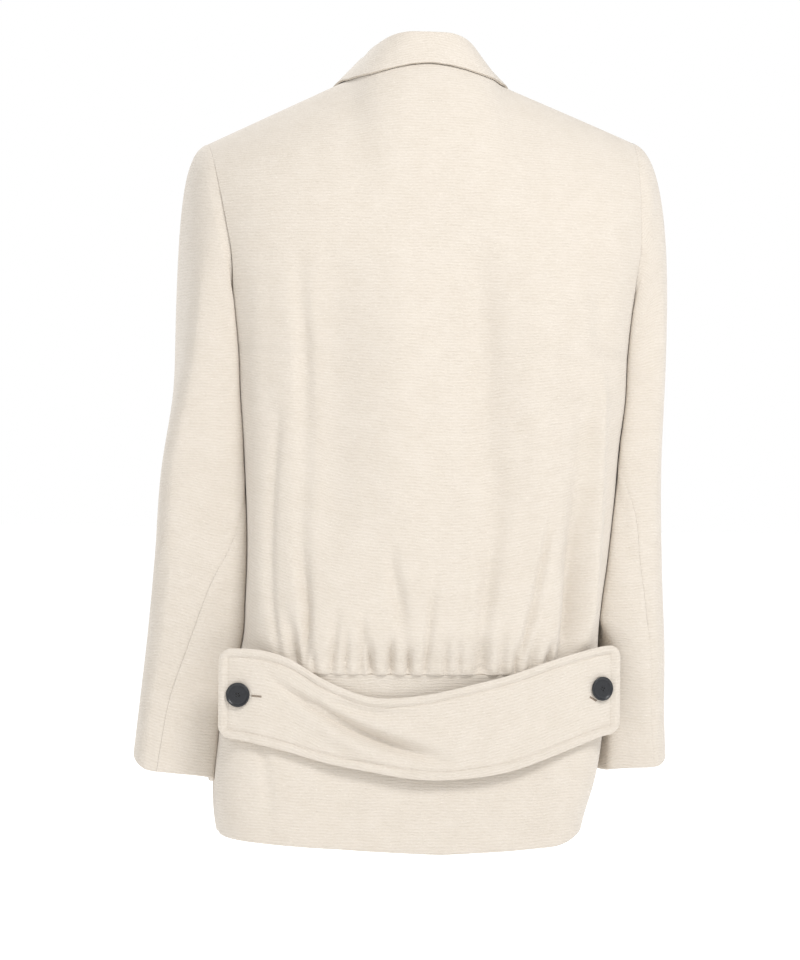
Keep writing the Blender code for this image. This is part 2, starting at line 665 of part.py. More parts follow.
def cloth_below(*pieces):
    """A search tree of the pieces, for what lies on them."""
    verts, faces = [], []
    for piece in pieces:
        start = len(verts)
        verts += [v.co.copy() for v in piece.data.vertices]
        faces += [[start + i for i in face.vertices] for face in piece.data.polygons]
    return BVHTree.FromPolygons(verts, faces)


# ================================================================ half belt
def belt_point(x, share, inset=0.0):
    """A point halfway through the belt: share 0 at its lower edge, 1 at its upper one."""
    read = {name: float(column(BELT, BELT_COLUMNS, name, x)) for name in BELT_COLUMNS}
    z = mix(read["bottom"] + inset, read["top"] - inset, share)
    depth = mix(read["top_depth"], read["bottom_depth"],
                (read["top"] - z) / (read["top"] - read["bottom"]))
    return np.array((x, depth, z))


def belt_share(x, z):
    low, high = belt_point(x, 0.0)[2], belt_point(x, 1.0)[2]
    return (z - low) / (high - low)


def belt_facing(x, z):
    """Direction that the belt's outer side faces at a place on it."""
    step = 0.010
    share = belt_share(x, z)
    across = belt_point(x - step, share) - belt_point(x + step, share)
    upward = belt_point(x, share + 0.1) - belt_point(x, share - 0.1)
    facing = np.cross(across, upward)
    return facing / np.linalg.norm(facing) * np.sign(facing[1])


def make_half_belt(cloth):
    end_left, end_right = BELT[0][0], BELT[-1][0]
    ease = BELT_CORNER * np.array((0.0, 0.3, 1.0))
    inner = np.linspace(end_left - 2.2 * BELT_CORNER, end_right + 2.2 * BELT_CORNER, 17)
    places = np.r_[end_left - ease, inner, end_right + ease[::-1]]
    rows = []
    for x in places:
        from_end = min(end_left - x, x - end_right)
        short = max(0.0, BELT_CORNER - from_end)
        inset = BELT_CORNER - np.sqrt(max(0.0, BELT_CORNER ** 2 - short ** 2))
        rows.append([belt_point(x, share, inset) for share in np.linspace(0, 1, 5)])
    return point_grid("half_belt", np.array(rows), BELT_WALL, cloth, flip=True, offset=0.0)


# ================================================================ buttons
def button_mesh(shank):
    """A dished button lying on z = 0 with its shank reaching below."""
    bm = bmesh.new()
    made = bmesh.ops.create_cone(bm, cap_ends=True, segments=14, depth=BUTTON_EDGE,
                                 radius1=BUTTON_RADIUS, radius2=BUTTON_RADIUS)
    bmesh.ops.translate(bm, verts=made["verts"], vec=(0, 0, BUTTON_EDGE / 2))
    top = max(bm.faces, key=lambda face: face.calc_center_median().z)
    bottom = min(bm.faces, key=lambda face: face.calc_center_median().z)
    bmesh.ops.inset_region(bm, faces=[top], thickness=BUTTON_RIM)
    bmesh.ops.inset_region(bm, faces=[top], thickness=BUTTON_DISH, depth=-BUTTON_DISH)
    bmesh.ops.inset_region(bm, faces=[bottom], thickness=BUTTON_RADIUS - SHANK_RADIUS)
    pushed = bmesh.ops.extrude_discrete_faces(bm, faces=[bottom])
    bmesh.ops.translate(bm, verts=pushed["faces"][0].verts, vec=(0, 0, -shank))
    bmesh.ops.recalc_face_normals(bm, faces=bm.faces)
    return bm


def make_button(name, place, facing, seat, plastic):
    """A button whose shank ends just above the cloth it is sewn to."""
    seam, normal = seat.ray_cast(Vector(place), -Vector(facing))[:2]
    slant = 2 * SHANK_RADIUS * np.tan(np.arccos(min(1.0, abs(normal @ Vector(facing)))))
    shank = (Vector(place) - seam).length - BUTTON_GAP - slant
    piece = finish(name, button_mesh(shank), plastic)
    piece.matrix_world = Matrix.Translation(place) @ upright(facing)
    return piece


def upright(facing):
    """Turn that points a piece's Z along the facing and keeps its Y upward."""
    forward = Vector(facing).normalized()
    across = Vector((0, 0, 1)).cross(forward).normalized()
    return Matrix((across, forward.cross(across), forward)).transposed().to_4x4()


def cut_buttonhole(piece, place, facing, toward):
    """Cut the hole that a shank passes through; toward is +X or -X."""
    turn = upright(facing)
    along = np.sign(turn.col[0][0]) * toward
    bm = bmesh.new()
    bmesh.ops.create_cube(bm, size=1.0)
    bmesh.ops.scale(bm, vec=BUTTONHOLE, verts=bm.verts)
    bmesh.ops.translate(bm, vec=(along * (BUTTONHOLE[0] / 2 - BUTTONHOLE_START), 0, 0),
                        verts=bm.verts)
    mesh = bpy.data.meshes.new("buttonhole")
    bm.to_mesh(mesh)
    bm.free()
    cutter = bpy.data.objects.new("buttonhole", mesh)
    cutter.matrix_world = Matrix.Translation(place) @ turn
    cutter.hide_render = True
    cutter.display_type = "WIRE"
    CUTTERS.objects.link(cutter)
    cut = piece.modifiers.new("buttonhole", "BOOLEAN")
    cut.operation = "DIFFERENCE"
    cut.object = cutter


def add_belt_buttons(belt, band, plastic):
    seat = cloth_below(band)
    for name, (x, z) in BELT_BUTTONS.items():
        facing = belt_facing(x, z)
        place = belt_point(x, belt_share(x, z)) + facing * (BELT_WALL / 2 + BUTTON_GAP)
        make_button(name, place, facing, seat, plastic(name))
        cut_buttonhole(belt, place, facing, toward=-np.sign(x))


def add_front_buttons(over, under, plastic):
    seat, cover = cloth_below(under), cloth_below(over)
    for name, z in FRONT_BUTTONS.items():
        hit, normal = cover.ray_cast(Vector((0, -1, z)), Vector((0, 1, 0)))[:2]
        facing = normal if normal.y < 0 else -normal
        place = hit + facing * BUTTON_GAP
        make_button(name, place, facing, seat, plastic(name))
        cut_buttonhole(over, place, facing, toward=RIGHT)


# ================================================================ the jacket
def material(name, colour, roughness):
    made = bpy.data.materials.new(name)
    made.use_nodes = True
    shader = made.node_tree.nodes["Principled BSDF"]
    shader.inputs["Base Color"].default_value = colour
    shader.inputs["Roughness"].default_value = roughness
    shader.inputs["Metallic"].default_value = 0.0
    made.diffuse_color = colour
    return made


def clear_scene():
    for item in list(bpy.data.objects):
        bpy.data.objects.remove(item, do_unlink=True)


def add_collection(name):
    made = bpy.data.collections.new(name)
    bpy.context.scene.collection.children.link(made)
    return made


def wool(name):
    return material(f"wool_{name}", CREAM, 0.95)


def plastic(name):
    return material(f"plastic_{name}", NAVY, 0.40)


def main():
    back = make_back(wool("back"))
    band = make_back_band(wool("back_band"))
    front_left = make_front("front_left", LEFT, wool("front_left"))
    front_right = make_front("front_right", RIGHT, wool("front_right"))
    make_lapel("lapel_left", LEFT, wool("lapel_left"))
    make_lapel("lapel_right", RIGHT, wool("lapel_right"))
    make_collar(wool("collar"), cloth_below(back, front_left, front_right))
    for word, side in (("left", LEFT), ("right", RIGHT)):
        for part, under in (("top", False), ("under", True)):
            name = f"sleeve_{word}_{part}"
            sleeve_panel(name, side, under, wool(name))
    belt = make_half_belt(wool("half_belt"))
    add_belt_buttons(belt, band, plastic)
    add_front_buttons(front_right, front_left, plastic)


clear_scene()
JACKET = add_collection("single_breasted_blazer")
CUTTERS = add_collection("cutters")
main()
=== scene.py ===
"""The looks of a single-breasted wool blazer, seen from behind.

Cream brushed wool with fine cross ribs: the back is gathered into a band, and a loose
half belt buttons across it. The fine cloth pieces follow the same form as the solids
they stand for, with their folds and gathers laid in. Metres, +Z up; the back
faces +Y and +X is the wearer's left.
"""

import math

import bmesh
import bpy
import numpy as np
from mathutils import Matrix, Vector
from mathutils.bvhtree import BVHTree


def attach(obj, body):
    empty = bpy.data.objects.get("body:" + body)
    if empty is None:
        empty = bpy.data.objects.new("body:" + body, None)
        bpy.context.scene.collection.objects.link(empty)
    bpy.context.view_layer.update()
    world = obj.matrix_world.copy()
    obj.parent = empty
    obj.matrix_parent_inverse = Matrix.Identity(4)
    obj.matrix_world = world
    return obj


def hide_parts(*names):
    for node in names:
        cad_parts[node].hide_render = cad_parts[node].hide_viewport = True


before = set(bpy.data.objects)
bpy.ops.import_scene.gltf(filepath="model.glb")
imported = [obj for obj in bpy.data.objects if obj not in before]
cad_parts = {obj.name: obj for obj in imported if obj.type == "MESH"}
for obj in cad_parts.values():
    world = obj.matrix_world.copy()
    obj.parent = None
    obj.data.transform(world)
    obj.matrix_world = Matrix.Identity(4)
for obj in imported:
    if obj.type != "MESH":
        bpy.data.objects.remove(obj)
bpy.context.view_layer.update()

LEFT, RIGHT = 1, -1

# ---------------------------------------------------------------- sizes in metres
WALL = 0.0022            # thickness of the wool cloth
SEAM = 0.0001            # gap between two pieces at a seam
BELT_WALL = 0.0045       # the belt's two layers

YOKE_Z = -0.140          # above this height the cloth turns over the shoulders
UNDERARM_Z = -0.247
WAIST_Z = -0.567
HEM_Z = -0.747
HEM_LOWEST_X = -0.015    # the hem hangs lowest here
HEM_RISE = 0.0115        # and this much higher
HEM_REACH = 0.200        # this far to both sides
HEM_FRONT_Z = -0.752
CORNER_LIFT = 0.016      # the hem's right corner is rounded off
CORNER_SPAN = (0.118, 0.182)

NECK_POINT = (0.080, 0.010, 0.0385)
SHOULDER_TIPS = {LEFT: (0.222, 0.000, -0.0305), RIGHT: (-0.222, 0.000, -0.0165)}
ARMHOLE_BACK = 0.075
ARMHOLE_FRONT = 0.070

OVERLAP = 0.022          # how far each front passes the centre line
FRONT_GAP = 0.0012       # air between the two fronts
BREAK_Z = -0.360         # the lapels turn over above this height
FRONT_CORNER = 0.035     # radius of the fronts' lower corners

BICEPS_Z = -0.270        # the sleeves' heads end here
CUFF_Z = {LEFT: -0.675, RIGHT: -0.666}
CUFF_TILT = {LEFT: 0.010, RIGHT: 0.003}    # the cuff is this much higher outside than behind
CUFF_RISE = {LEFT: 0.009, RIGHT: 0.012}    # and its outer corner curves up

# ---------------------------------------------------------------- form of the body
BODY_COLUMNS = ("height", "half_width", "back", "front", "widest", "centre",
                "back_power", "front_power", "side_seam")
BODY = (
    (-0.140, 0.2275, 0.1265, -0.118, 0.010, -0.009, 2.8, 2.5, 0.000),
    (-0.195, 0.2140, 0.1300, -0.131, 0.015, -0.008, 2.8, 2.4, 0.000),
    (-0.247, 0.2050, 0.1300, -0.135, 0.022, -0.009, 2.8, 2.3, 0.003),
    (-0.292, 0.2005, 0.1290, -0.133, 0.032, -0.010, 2.8, 2.3, 0.026),
    (-0.333, 0.1950, 0.1280, -0.128, 0.038, -0.0095, 2.8, 2.3, 0.042),
    (-0.394, 0.1900, 0.1280, -0.121, 0.042, -0.009, 2.8, 2.3, 0.052),
    (-0.456, 0.1855, 0.1300, -0.119, 0.045, -0.0065, 2.8, 2.3, 0.057),
    (-0.500, 0.1830, 0.1330, -0.121, 0.045, -0.003, 2.8, 2.3, 0.057),
    (-0.532, 0.1820, 0.1305, -0.123, 0.044, -0.001, 3.0, 2.3, 0.056),
    (-0.552, 0.1835, 0.1215, -0.124, 0.043, 0.001, 3.5, 2.4, 0.055),
    (-0.567, 0.1865, 0.1130, -0.125, 0.041, 0.003, 4.6, 2.4, 0.054),
    (-0.600, 0.1935, 0.1130, -0.127, 0.036, 0.0065, 6.0, 2.5, 0.050),
    (-0.648, 0.1956, 0.1165, -0.130, 0.030, 0.0095, 5.6, 2.5, 0.046),
    (-0.700, 0.1940, 0.1205, -0.132, 0.026, 0.0145, 4.8, 2.5, 0.044),
    (-0.735, 0.1885, 0.1205, -0.132, 0.024, 0.0175, 4.2, 2.5, 0.043),
    (-0.752, 0.1850, 0.1195, -0.131, 0.024, 0.0180, 4.2, 2.5, 0.043),
)

NECKLINE_COLUMNS = ("along", "x", "y", "z")
NECKLINE = (
    (0.00, 0.000, 0.0600, 0.0560),
    (0.35, 0.031, 0.0560, 0.0545),
    (0.70, 0.061, 0.0400, 0.0485),
    (1.00, 0.080, 0.0100, 0.0385),
)
NECK_SHARE = 1 / 3

# The sleeves below their heads, measured from the body's centre plane: outer and inner
# side, then the depth of their middle, back and front, and how far they lean outward
# toward their back. Their outline is boxier as the power grows.
SLEEVE_POWER = 2.6
SLEEVE_COLUMNS = ("height", "outer", "inner", "middle", "back", "front", "lean")
SLEEVES = {
    LEFT: (
        (-0.270, 0.2520, 0.1960, -0.014, 0.068, -0.092, 0.00),
        (-0.360, 0.2595, 0.1775, -0.024, 0.064, -0.088, 0.18),
        (-0.460, 0.2660, 0.1715, -0.030, 0.060, -0.080, 0.18),
        (-0.543, 0.2730, 0.1755, -0.030, 0.056, -0.070, 0.18),
        (-0.600, 0.2793, 0.1955, -0.026, 0.052, -0.063, 0.18),
        (-0.650, 0.2853, 0.2020, -0.022, 0.050, -0.059, 0.18),
        (-0.690, 0.2901, 0.2050, -0.020, 0.048, -0.056, 0.18),
    ),
    RIGHT: (
        (-0.270, 0.2560, 0.2150, -0.012, 0.070, -0.090, 0.00),
        (-0.360, 0.2490, 0.2020, -0.006, 0.078, -0.084, 0.04),
        (-0.460, 0.2520, 0.1895, -0.006, 0.080, -0.072, 0.04),
        (-0.543, 0.2573, 0.1840, -0.006, 0.078, -0.064, 0.04),
        (-0.620, 0.2600, 0.1890, -0.004, 0.070, -0.058, 0.04),
        (-0.690, 0.2658, 0.1950, -0.002, 0.062, -0.053, 0.04),
    ),
}
HEAD_FULLNESS = {LEFT: 1.05, RIGHT: 1.30}
HEAD_COLUMNS = ("angle", "outward", "down")
HEAD = (
    (0, 0.110, 0.030),
    (45, 0.080, 0.045),
    (90, 0.050, 0.050),
    (135, 0.030, 0.030),
    (180, 0.018, 0.010),
)
# Back seam of each sleeve, by the share of its length below the head.
SEAM_COLUMNS = ("along", "angle")
SEAM_TOP = 132
BACK_SEAM = {
    LEFT: ((-1.0, SEAM_TOP), (0.0, 148), (0.2, 134), (0.33, 108), (0.48, 90), (0.63, 81),
           (0.8, 76), (1.0, 73)),
    RIGHT: ((-1.0, SEAM_TOP), (0.0, 148), (0.126, 130), (0.267, 96), (0.5, 80), (1.0, 72)),
}
FRONT_SEAM_ANGLE = -132

COLLAR_COLUMNS = ("along", "fold_x", "fold_y", "fold_z", "edge_x", "edge_y")
COLLAR = (
    (0.00, 0.0000, 0.0525, 0.0842, 0.0000, 0.0702),
    (0.16, 0.0220, 0.0490, 0.0836, 0.0330, 0.0702),
    (0.32, 0.0410, 0.0365, 0.0788, 0.0610, 0.0600),
    (0.50, 0.0560, 0.0110, 0.0680, 0.0830, 0.0210),
    (0.66, 0.0630, -0.0170, 0.0500, 0.0980, -0.0170),
    (0.83, 0.0665, -0.0500, 0.0220, 0.1080, -0.0560),
    (1.00, 0.0620, -0.0830, -0.0240, 0.1080, -0.0880),
)
COLLAR_SEAT = 0.0010     # the stand rises this far over the neck seam
FOLD_RADIUS = 0.0034
GORGE_TURN = 0.40        # how far up the front's neck edge the lapel reaches
GORGE_GAP = 0.05         # and the notch between it and the collar
COLLAR_LIFT = 0.0008     # air under the collar's fall
CLOTH_LIFT = 0.0010      # and under the lapels

LAPEL_COLUMNS = ("along", "width")
LAPEL = ((0.00, 0.002), (0.10, 0.018), (0.35, 0.047), (0.70, 0.076), (0.92, 0.094),
         (1.00, 0.092))
LAPEL_START_Z = {LEFT: -0.310, RIGHT: -0.352}

BELT_COLUMNS = ("x", "top", "bottom", "top_depth", "bottom_depth")
BELT = (
    (0.2085, -0.5455, -0.6335, 0.0975, 0.1015),
    (0.1930, -0.5445, -0.6345, 0.1025, 0.1065),
    (0.1730, -0.5450, -0.6385, 0.1085, 0.1135),
    (0.1450, -0.5515, -0.6450, 0.1150, 0.1180),
    (0.1020, -0.5755, -0.6570, 0.1205, 0.1225),
    (0.0600, -0.5905, -0.6650, 0.1240, 0.1255),
    (0.0060, -0.5885, -0.6730, 0.1275, 0.1285),
    (-0.0400, -0.5785, -0.6715, 0.1280, 0.1285),
    (-0.0840, -0.5670, -0.6640, 0.1260, 0.1265),
    (-0.1270, -0.5525, -0.6495, 0.1200, 0.1200),
    (-0.1600, -0.5435, -0.6370, 0.1115, 0.1130),
    (-0.1800, -0.5395, -0.6305, 0.1035, 0.1060),
    (-0.1980, -0.5385, -0.6275, 0.0975, 0.1000),
)
BELT_CORNER = 0.012

BUTTON_GAP = 0.0006
# Places on the belt, or heights on the fronts, and how far each button is turned in degrees.
BELT_BUTTONS = {"belt_button_left": (0.1890, -0.5905, 12),
                "belt_button_right": (-0.1775, -0.5825, -28)}
FRONT_BUTTONS = {"front_button_upper": (-0.380, 9), "front_button_lower": (-0.495, -17)}

# ---------------------------------------------------------------- folds laid in
# Each fold is a line on the cloth: a height on it, where it runs there, how wide it is
# and how far it stands out (a trough is below zero). Most fade out at both ends. Here the
# second value is x.
FOLD_COLUMNS = ("height", "line", "width", "depth")
BACK_FOLDS = {
    "left_long": (
        (-0.1260, 0.1350, 0.0100, 0.0),
        (-0.1860, 0.1343, 0.0080, -0.0032),
        (-0.2457, 0.1299, 0.0070, -0.0060),
        (-0.2956, 0.1287, 0.0080, -0.0046),
        (-0.3754, 0.1284, 0.0090, -0.0038),
        (-0.4352, 0.1297, 0.0080, -0.0042),
        (-0.4700, 0.1274, 0.0065, -0.0070),
        (-0.5047, 0.1237, 0.0050, -0.0084),
        (-0.5447, 0.1234, 0.0045, -0.0066),
        (-0.5665, 0.1235, 0.0040, 0.0),
    ),
    "left_line": (
        (-0.2957, 0.1528, 0.0050, 0.0),
        (-0.3357, 0.1551, 0.0045, -0.0028),
        (-0.3958, 0.1580, 0.0045, -0.0034),
        (-0.4560, 0.1591, 0.0045, -0.0036),
        (-0.4958, 0.1579, 0.0045, -0.0038),
        (-0.5355, 0.1527, 0.0040, -0.0028),
        (-0.5554, 0.1485, 0.0040, 0.0),
    ),
    "left_edge": (
        (-0.1456, 0.1773, 0.0100, 0.0),
        (-0.2255, 0.1749, 0.0090, 0.0016),
        (-0.3458, 0.1718, 0.0090, 0.0022),
        (-0.4965, 0.1690, 0.0090, 0.0020),
        (-0.5463, 0.1678, 0.0090, 0.0),
    ),
    "left_soft": (
        (-0.1159, 0.1017, 0.0240, 0.0),
        (-0.1958, 0.1028, 0.0240, -0.0044),
        (-0.2953, 0.1013, 0.0240, -0.0050),
        (-0.3949, 0.0998, 0.0220, -0.0044),
        (-0.4745, 0.0991, 0.0200, 0.0),
    ),
    "centre_swell": (
        (-0.1146, 0.0321, 0.0360, 0.0),
        (-0.1946, 0.0324, 0.0360, 0.0074),
        (-0.3441, 0.0331, 0.0340, 0.0078),
        (-0.4337, 0.0269, 0.0300, 0.0040),
        (-0.5033, 0.0265, 0.0300, 0.0),
    ),
    "middle_broad": (
        (-0.1177, -0.0446, 0.0180, 0.0),
        (-0.1729, -0.0460, 0.0180, -0.0058),
        (-0.2229, -0.0485, 0.0180, -0.0088),
        (-0.2928, -0.0528, 0.0190, -0.0090),
        (-0.3428, -0.0547, 0.0180, -0.0080),
        (-0.3927, -0.0635, 0.0150, -0.0076),
        (-0.4428, -0.0610, 0.0120, -0.0078),
        (-0.4827, -0.0570, 0.0095, -0.0094),
        (-0.5177, -0.0534, 0.0080, -0.0060),
        (-0.5534, -0.0496, 0.0080, 0.0),
    ),
    "right_swell": (
        (-0.1211, -0.1009, 0.0260, 0.0),
        (-0.2216, -0.1029, 0.0240, 0.0050),
        (-0.3218, -0.1089, 0.0200, 0.0050),
        (-0.4122, -0.1144, 0.0140, 0.0030),
        (-0.4724, -0.1214, 0.0120, 0.0),
    ),
    "slant_line": (
        (-0.4041, -0.1217, 0.0050, 0.0),
        (-0.4323, -0.1178, 0.0045, -0.0046),
        (-0.4724, -0.1108, 0.0045, -0.0054),
        (-0.5126, -0.1017, 0.0045, -0.0060),
        (-0.5430, -0.0948, 0.0040, -0.0060),
        (-0.5616, -0.0912, 0.0040, 0.0),
    ),
    "right_long": (
        (-0.2653, -0.1571, 0.0120, 0.0),
        (-0.3108, -0.1557, 0.0120, -0.0044),
        (-0.3714, -0.1548, 0.0120, -0.0070),
        (-0.4119, -0.1510, 0.0110, -0.0110),
        (-0.4523, -0.1483, 0.0105, -0.0150),
        (-0.4927, -0.1478, 0.0095, -0.0170),
        (-0.5281, -0.1452, 0.0080, -0.0150),
        (-0.5515, -0.1409, 0.0070, -0.0050),
        (-0.5637, -0.1372, 0.0060, 0.0),
    ),
    "right_ridge": (
        (-0.2190, -0.1767, 0.0080, 0.0),
        (-0.2900, -0.1757, 0.0070, 0.0050),
        (-0.3915, -0.1723, 0.0070, 0.0070),
        (-0.4524, -0.1690, 0.0070, 0.0080),
        (-0.5134, -0.1648, 0.0070, 0.0080),
        (-0.5489, -0.1611, 0.0070, 0.0),
    ),
    "right_soft": (
        (-0.1385, -0.1682, 0.0120, 0.0),
        (-0.1989, -0.1727, 0.0110, -0.0034),
        (-0.2543, -0.1787, 0.0100, -0.0030),
        (-0.2897, -0.1840, 0.0090, 0.0),
    ),
    "centre_pit": (
        (-0.4359, 0.0409, 0.0060, 0.0),
        (-0.4657, 0.0387, 0.0070, -0.0050),
        (-0.4934, 0.0326, 0.0080, -0.0075),
        (-0.5233, 0.0291, 0.0070, -0.0034),
        (-0.5498, 0.0256, 0.0060, 0.0),
    ),
}

# Gathers: x where each one meets the waist seam, x and height where its trough ends above,
# how wide it is at the seam and there, and its depth.
GATHERS = (
    (0.1315, 0.1474, -0.495, 0.0044, 0.0070, 0.0086),
    (0.1146, 0.1189, -0.535, 0.0028, 0.0040, 0.0044),
    (0.0976, 0.0931, -0.490, 0.0032, 0.0054, 0.0056),
    (0.0836, 0.0849, -0.516, 0.0028, 0.0040, 0.0050),
    (0.0686, 0.0685, -0.488, 0.0032, 0.0052, 0.0050),
    (0.0575, 0.0650, -0.524, 0.0034, 0.0050, 0.0086),
    (0.0384, 0.0412, -0.519, 0.0034, 0.0054, 0.0088),
    (0.0202, 0.0228, -0.531, 0.0030, 0.0044, 0.0084),
    (0.0040, -0.0053, -0.445, 0.0032, 0.0054, 0.0050),
    (-0.0172, -0.0150, -0.519, 0.0028, 0.0040, 0.0040),
    (-0.0304, -0.0282, -0.523, 0.0026, 0.0038, 0.0036),
    (-0.0527, -0.0534, -0.519, 0.0066, 0.0090, 0.0096),
    (-0.0731, -0.0736, -0.505, 0.0038, 0.0060, 0.0048),
    (-0.0874, -0.0897, -0.529, 0.0028, 0.0042, 0.0068),
    (-0.1029, -0.1112, -0.513, 0.0042, 0.0064, 0.0062),
    (-0.1194, -0.1287, -0.527, 0.0030, 0.0044, 0.0078),
    (-0.1341, -0.1412, -0.499, 0.0042, 0.0062, 0.0052),
)
SEAM_HOLD = 0.35         # share of a gather's depth that is left right at the seam
LOBE_HEIGHT = 0.0024     # how far the gathered cloth stands over the waist seam
LOBE_REACH = 0.012       # and up to where
SWELL_COLUMNS = ("height", "out")
WAIST_SWELL = ((-0.640, 0.0), (-0.600, 0.0050), (-0.567, 0.0065), (-0.545, 0.0035),
               (-0.520, 0.0))
SWELL_WIDTH = (0.105, 0.145)     # the swell fades between these distances from the middle
FOLD_REACH = 0.014       # folds fade out over this much cloth before a seam
SLEEVE_FOLD_REACH = 0.012
BAND_HEM, SLEEVE_HEM = 0.034, 0.032    # cloth turned in at the hem and at the cuffs

BAND_FOLDS = {
    "left_crease": (
        (-0.600, 0.1665, 0.007, 0.0),
        (-0.640, 0.1655, 0.006, -0.0022),
        (-0.695, 0.1587, 0.006, -0.0020),
        (-0.747, 0.1570, 0.007, 0.0),
    ),
    "left_wave": (
        (-0.590, 0.0950, 0.022, 0.0),
        (-0.680, 0.0880, 0.022, -0.0014),
        (-0.755, 0.0860, 0.022, -0.0018),
    ),
    "middle_wave": (
        (-0.590, -0.0150, 0.026, 0.0),
        (-0.680, -0.0130, 0.026, 0.0014),
        (-0.755, -0.0120, 0.026, 0.0018),
    ),
    "right_wave": (
        (-0.590, -0.1050, 0.020, 0.0),
        (-0.680, -0.1080, 0.020, -0.0016),
        (-0.755, -0.1120, 0.020, -0.0020),
    ),
}

# The fronts hang more plainly. The x values are for the left front.
FRONT_FOLDS = {
    "chest": (
        (-0.080, 0.1500, 0.020, 0.0),
        (-0.180, 0.1380, 0.020, -0.0020),
        (-0.260, 0.1220, 0.018, -0.0024),
        (-0.340, 0.1000, 0.018, 0.0),
    ),
    "button_drag": (
        (-0.370, 0.0200, 0.010, 0.0),
        (-0.395, 0.0500, 0.012, -0.0016),
        (-0.440, 0.0900, 0.015, -0.0018),
        (-0.490, 0.1250, 0.018, 0.0),
    ),
    "side_upper": (
        (-0.250, 0.1640, 0.014, 0.0),
        (-0.330, 0.1600, 0.013, 0.0022),
        (-0.470, 0.1520, 0.014, 0.0020),
        (-0.560, 0.1500, 0.016, 0.0),
    ),
    "skirt_trough": (
        (-0.520, 0.1050, 0.016, 0.0),
        (-0.620, 0.1020, 0.018, -0.0026),
        (-0.756, 0.0980, 0.020, -0.0036),
    ),
    "skirt_ridge": (
        (-0.540, 0.0600, 0.016, 0.0),
        (-0.640, 0.0620, 0.018, 0.0018),
        (-0.756, 0.0640, 0.020, 0.0026),
    ),
}

# On the sleeves the second value is the angle: 0 outside, 90 behind, -90 in front.
SLEEVE_FOLDS = {
    LEFT: {
        "head_hollow": (
            (-0.045, 62, 16, 0.0),
            (-0.085, 58, 18, -0.0010),
            (-0.125, 60, 18, -0.0008),
            (-0.170, 70, 18, 0.0),
        ),
        "elbow_back": (
            (-0.330, 118, 16, 0.0),
            (-0.400, 96, 15, -0.0018),
            (-0.450, 70, 15, -0.0018),
            (-0.520, 44, 15, 0.0),
        ),
        "outer_ridge": (
            (-0.200, 40, 18, 0.0),
            (-0.330, 44, 18, 0.0016),
            (-0.520, 40, 18, 0.0012),
            (-0.660, 36, 18, 0.0),
        ),
        "front_drape": (
            (-0.240, -80, 18, 0.0),
            (-0.380, -84, 18, -0.0026),
            (-0.520, -76, 18, -0.0022),
            (-0.690, -70, 18, 0.0),
        ),
        "cuff_dip": (
            (-0.560, 74, 16, 0.0),
            (-0.640, 78, 16, -0.0022),
            (-0.700, 80, 16, -0.0026),
        ),
    },
    RIGHT: {
        "head_crease": (
            (-0.050, 30, 11, 0.0),
            (-0.080, 40, 11, -0.0022),
            (-0.108, 62, 12, -0.0022),
            (-0.150, 80, 14, 0.0),
        ),
        "elbow_back": (
            (-0.300, 126, 16, 0.0),
            (-0.380, 104, 15, -0.0020),
            (-0.450, 78, 15, -0.0016),
            (-0.530, 52, 15, 0.0),
        ),
        "outer_ridge": (
            (-0.210, 50, 18, 0.0),
            (-0.360, 46, 18, 0.0014),
            (-0.560, 44, 18, 0.0014),
            (-0.670, 42, 18, 0.0),
        ),
        "front_drape": (
            (-0.240, -84, 18, 0.0),
            (-0.360, -80, 18, -0.0026),
            (-0.500, -74, 18, -0.0024),
            (-0.690, -70, 18, 0.0),
        ),
        "cuff_dip": (
            (-0.580, 96, 16, 0.0),
            (-0.640, 92, 16, -0.0022),
            (-0.700, 88, 16, -0.0024),
        ),
    },
}

# The sleeves lie against the body: how much of the room between them closes, by height.
PRESS_COLUMNS = ("height", "share")
PRESS = {
    LEFT: ((-0.120, 0.0), (-0.195, 1.0), (-0.690, 1.0)),
    RIGHT: ((-0.120, 0.0), (-0.195, 1.0), (-0.515, 1.0), (-0.545, 0.40), (-0.600, 0.60),
            (-0.690, 0.60)),
}
# Degrees round the sleeve where the pressing starts, is full, holds to and ends.
PRESS_ANGLES = {LEFT: (62, 118, 190, 244), RIGHT: (66, 120, 190, 244)}
PRESS_CLEARANCE = 0.0004
ARMHOLE_RECESS = {LEFT: 0.0020, RIGHT: 0.0008}   # the sleeves start lower than the body's edge
RECESS_ANGLES = (25, 75)  # less so over the shoulder
RECESS_REACH = 0.018
SEAM_DIP = 0.0009         # the stitching pulls both edges of a sleeve's seam in
DIP_REACH = 0.006

# Long soft folds across the belt, from its upper edge down to its middle: here the first
# value is x and the second the height.
BELT_FOLDS = {
    "long": (
        (0.1640, -0.5700, 0.006, 0.0),
        (0.1462, -0.5821, 0.0055, -0.0034),
        (0.1142, -0.6011, 0.0062, -0.0078),
        (0.0811, -0.6201, 0.0068, -0.0108),
        (0.0369, -0.6382, 0.0070, -0.0112),
        (0.0100, -0.6465, 0.0078, -0.0084),
        (-0.0080, -0.6512, 0.009, -0.0040),
        (-0.0260, -0.6570, 0.011, 0.0),
    ),
    "under_edge": (
        (0.1050, -0.5930, 0.006, 0.0),
        (0.0800, -0.6020, 0.006, -0.0028),
        (0.0450, -0.6080, 0.006, -0.0032),
        (0.0150, -0.6090, 0.007, 0.0),
    ),
    "below_fold": (
        (0.1350, -0.6060, 0.009, 0.0),
        (0.1000, -0.6260, 0.009, 0.0032),
        (0.0600, -0.6460, 0.009, 0.0036),
        (0.0250, -0.6580, 0.009, 0.0),
    ),
}
STITCH_INSET = 0.0090    # belt's stitch line from its edge
STITCH_PITCH = 0.0032
STITCH_LENGTH = 0.0022
THREAD_RADIUS = 0.00028
EDGE_ROLL = 0.0016       # the belt is fuller along its edge
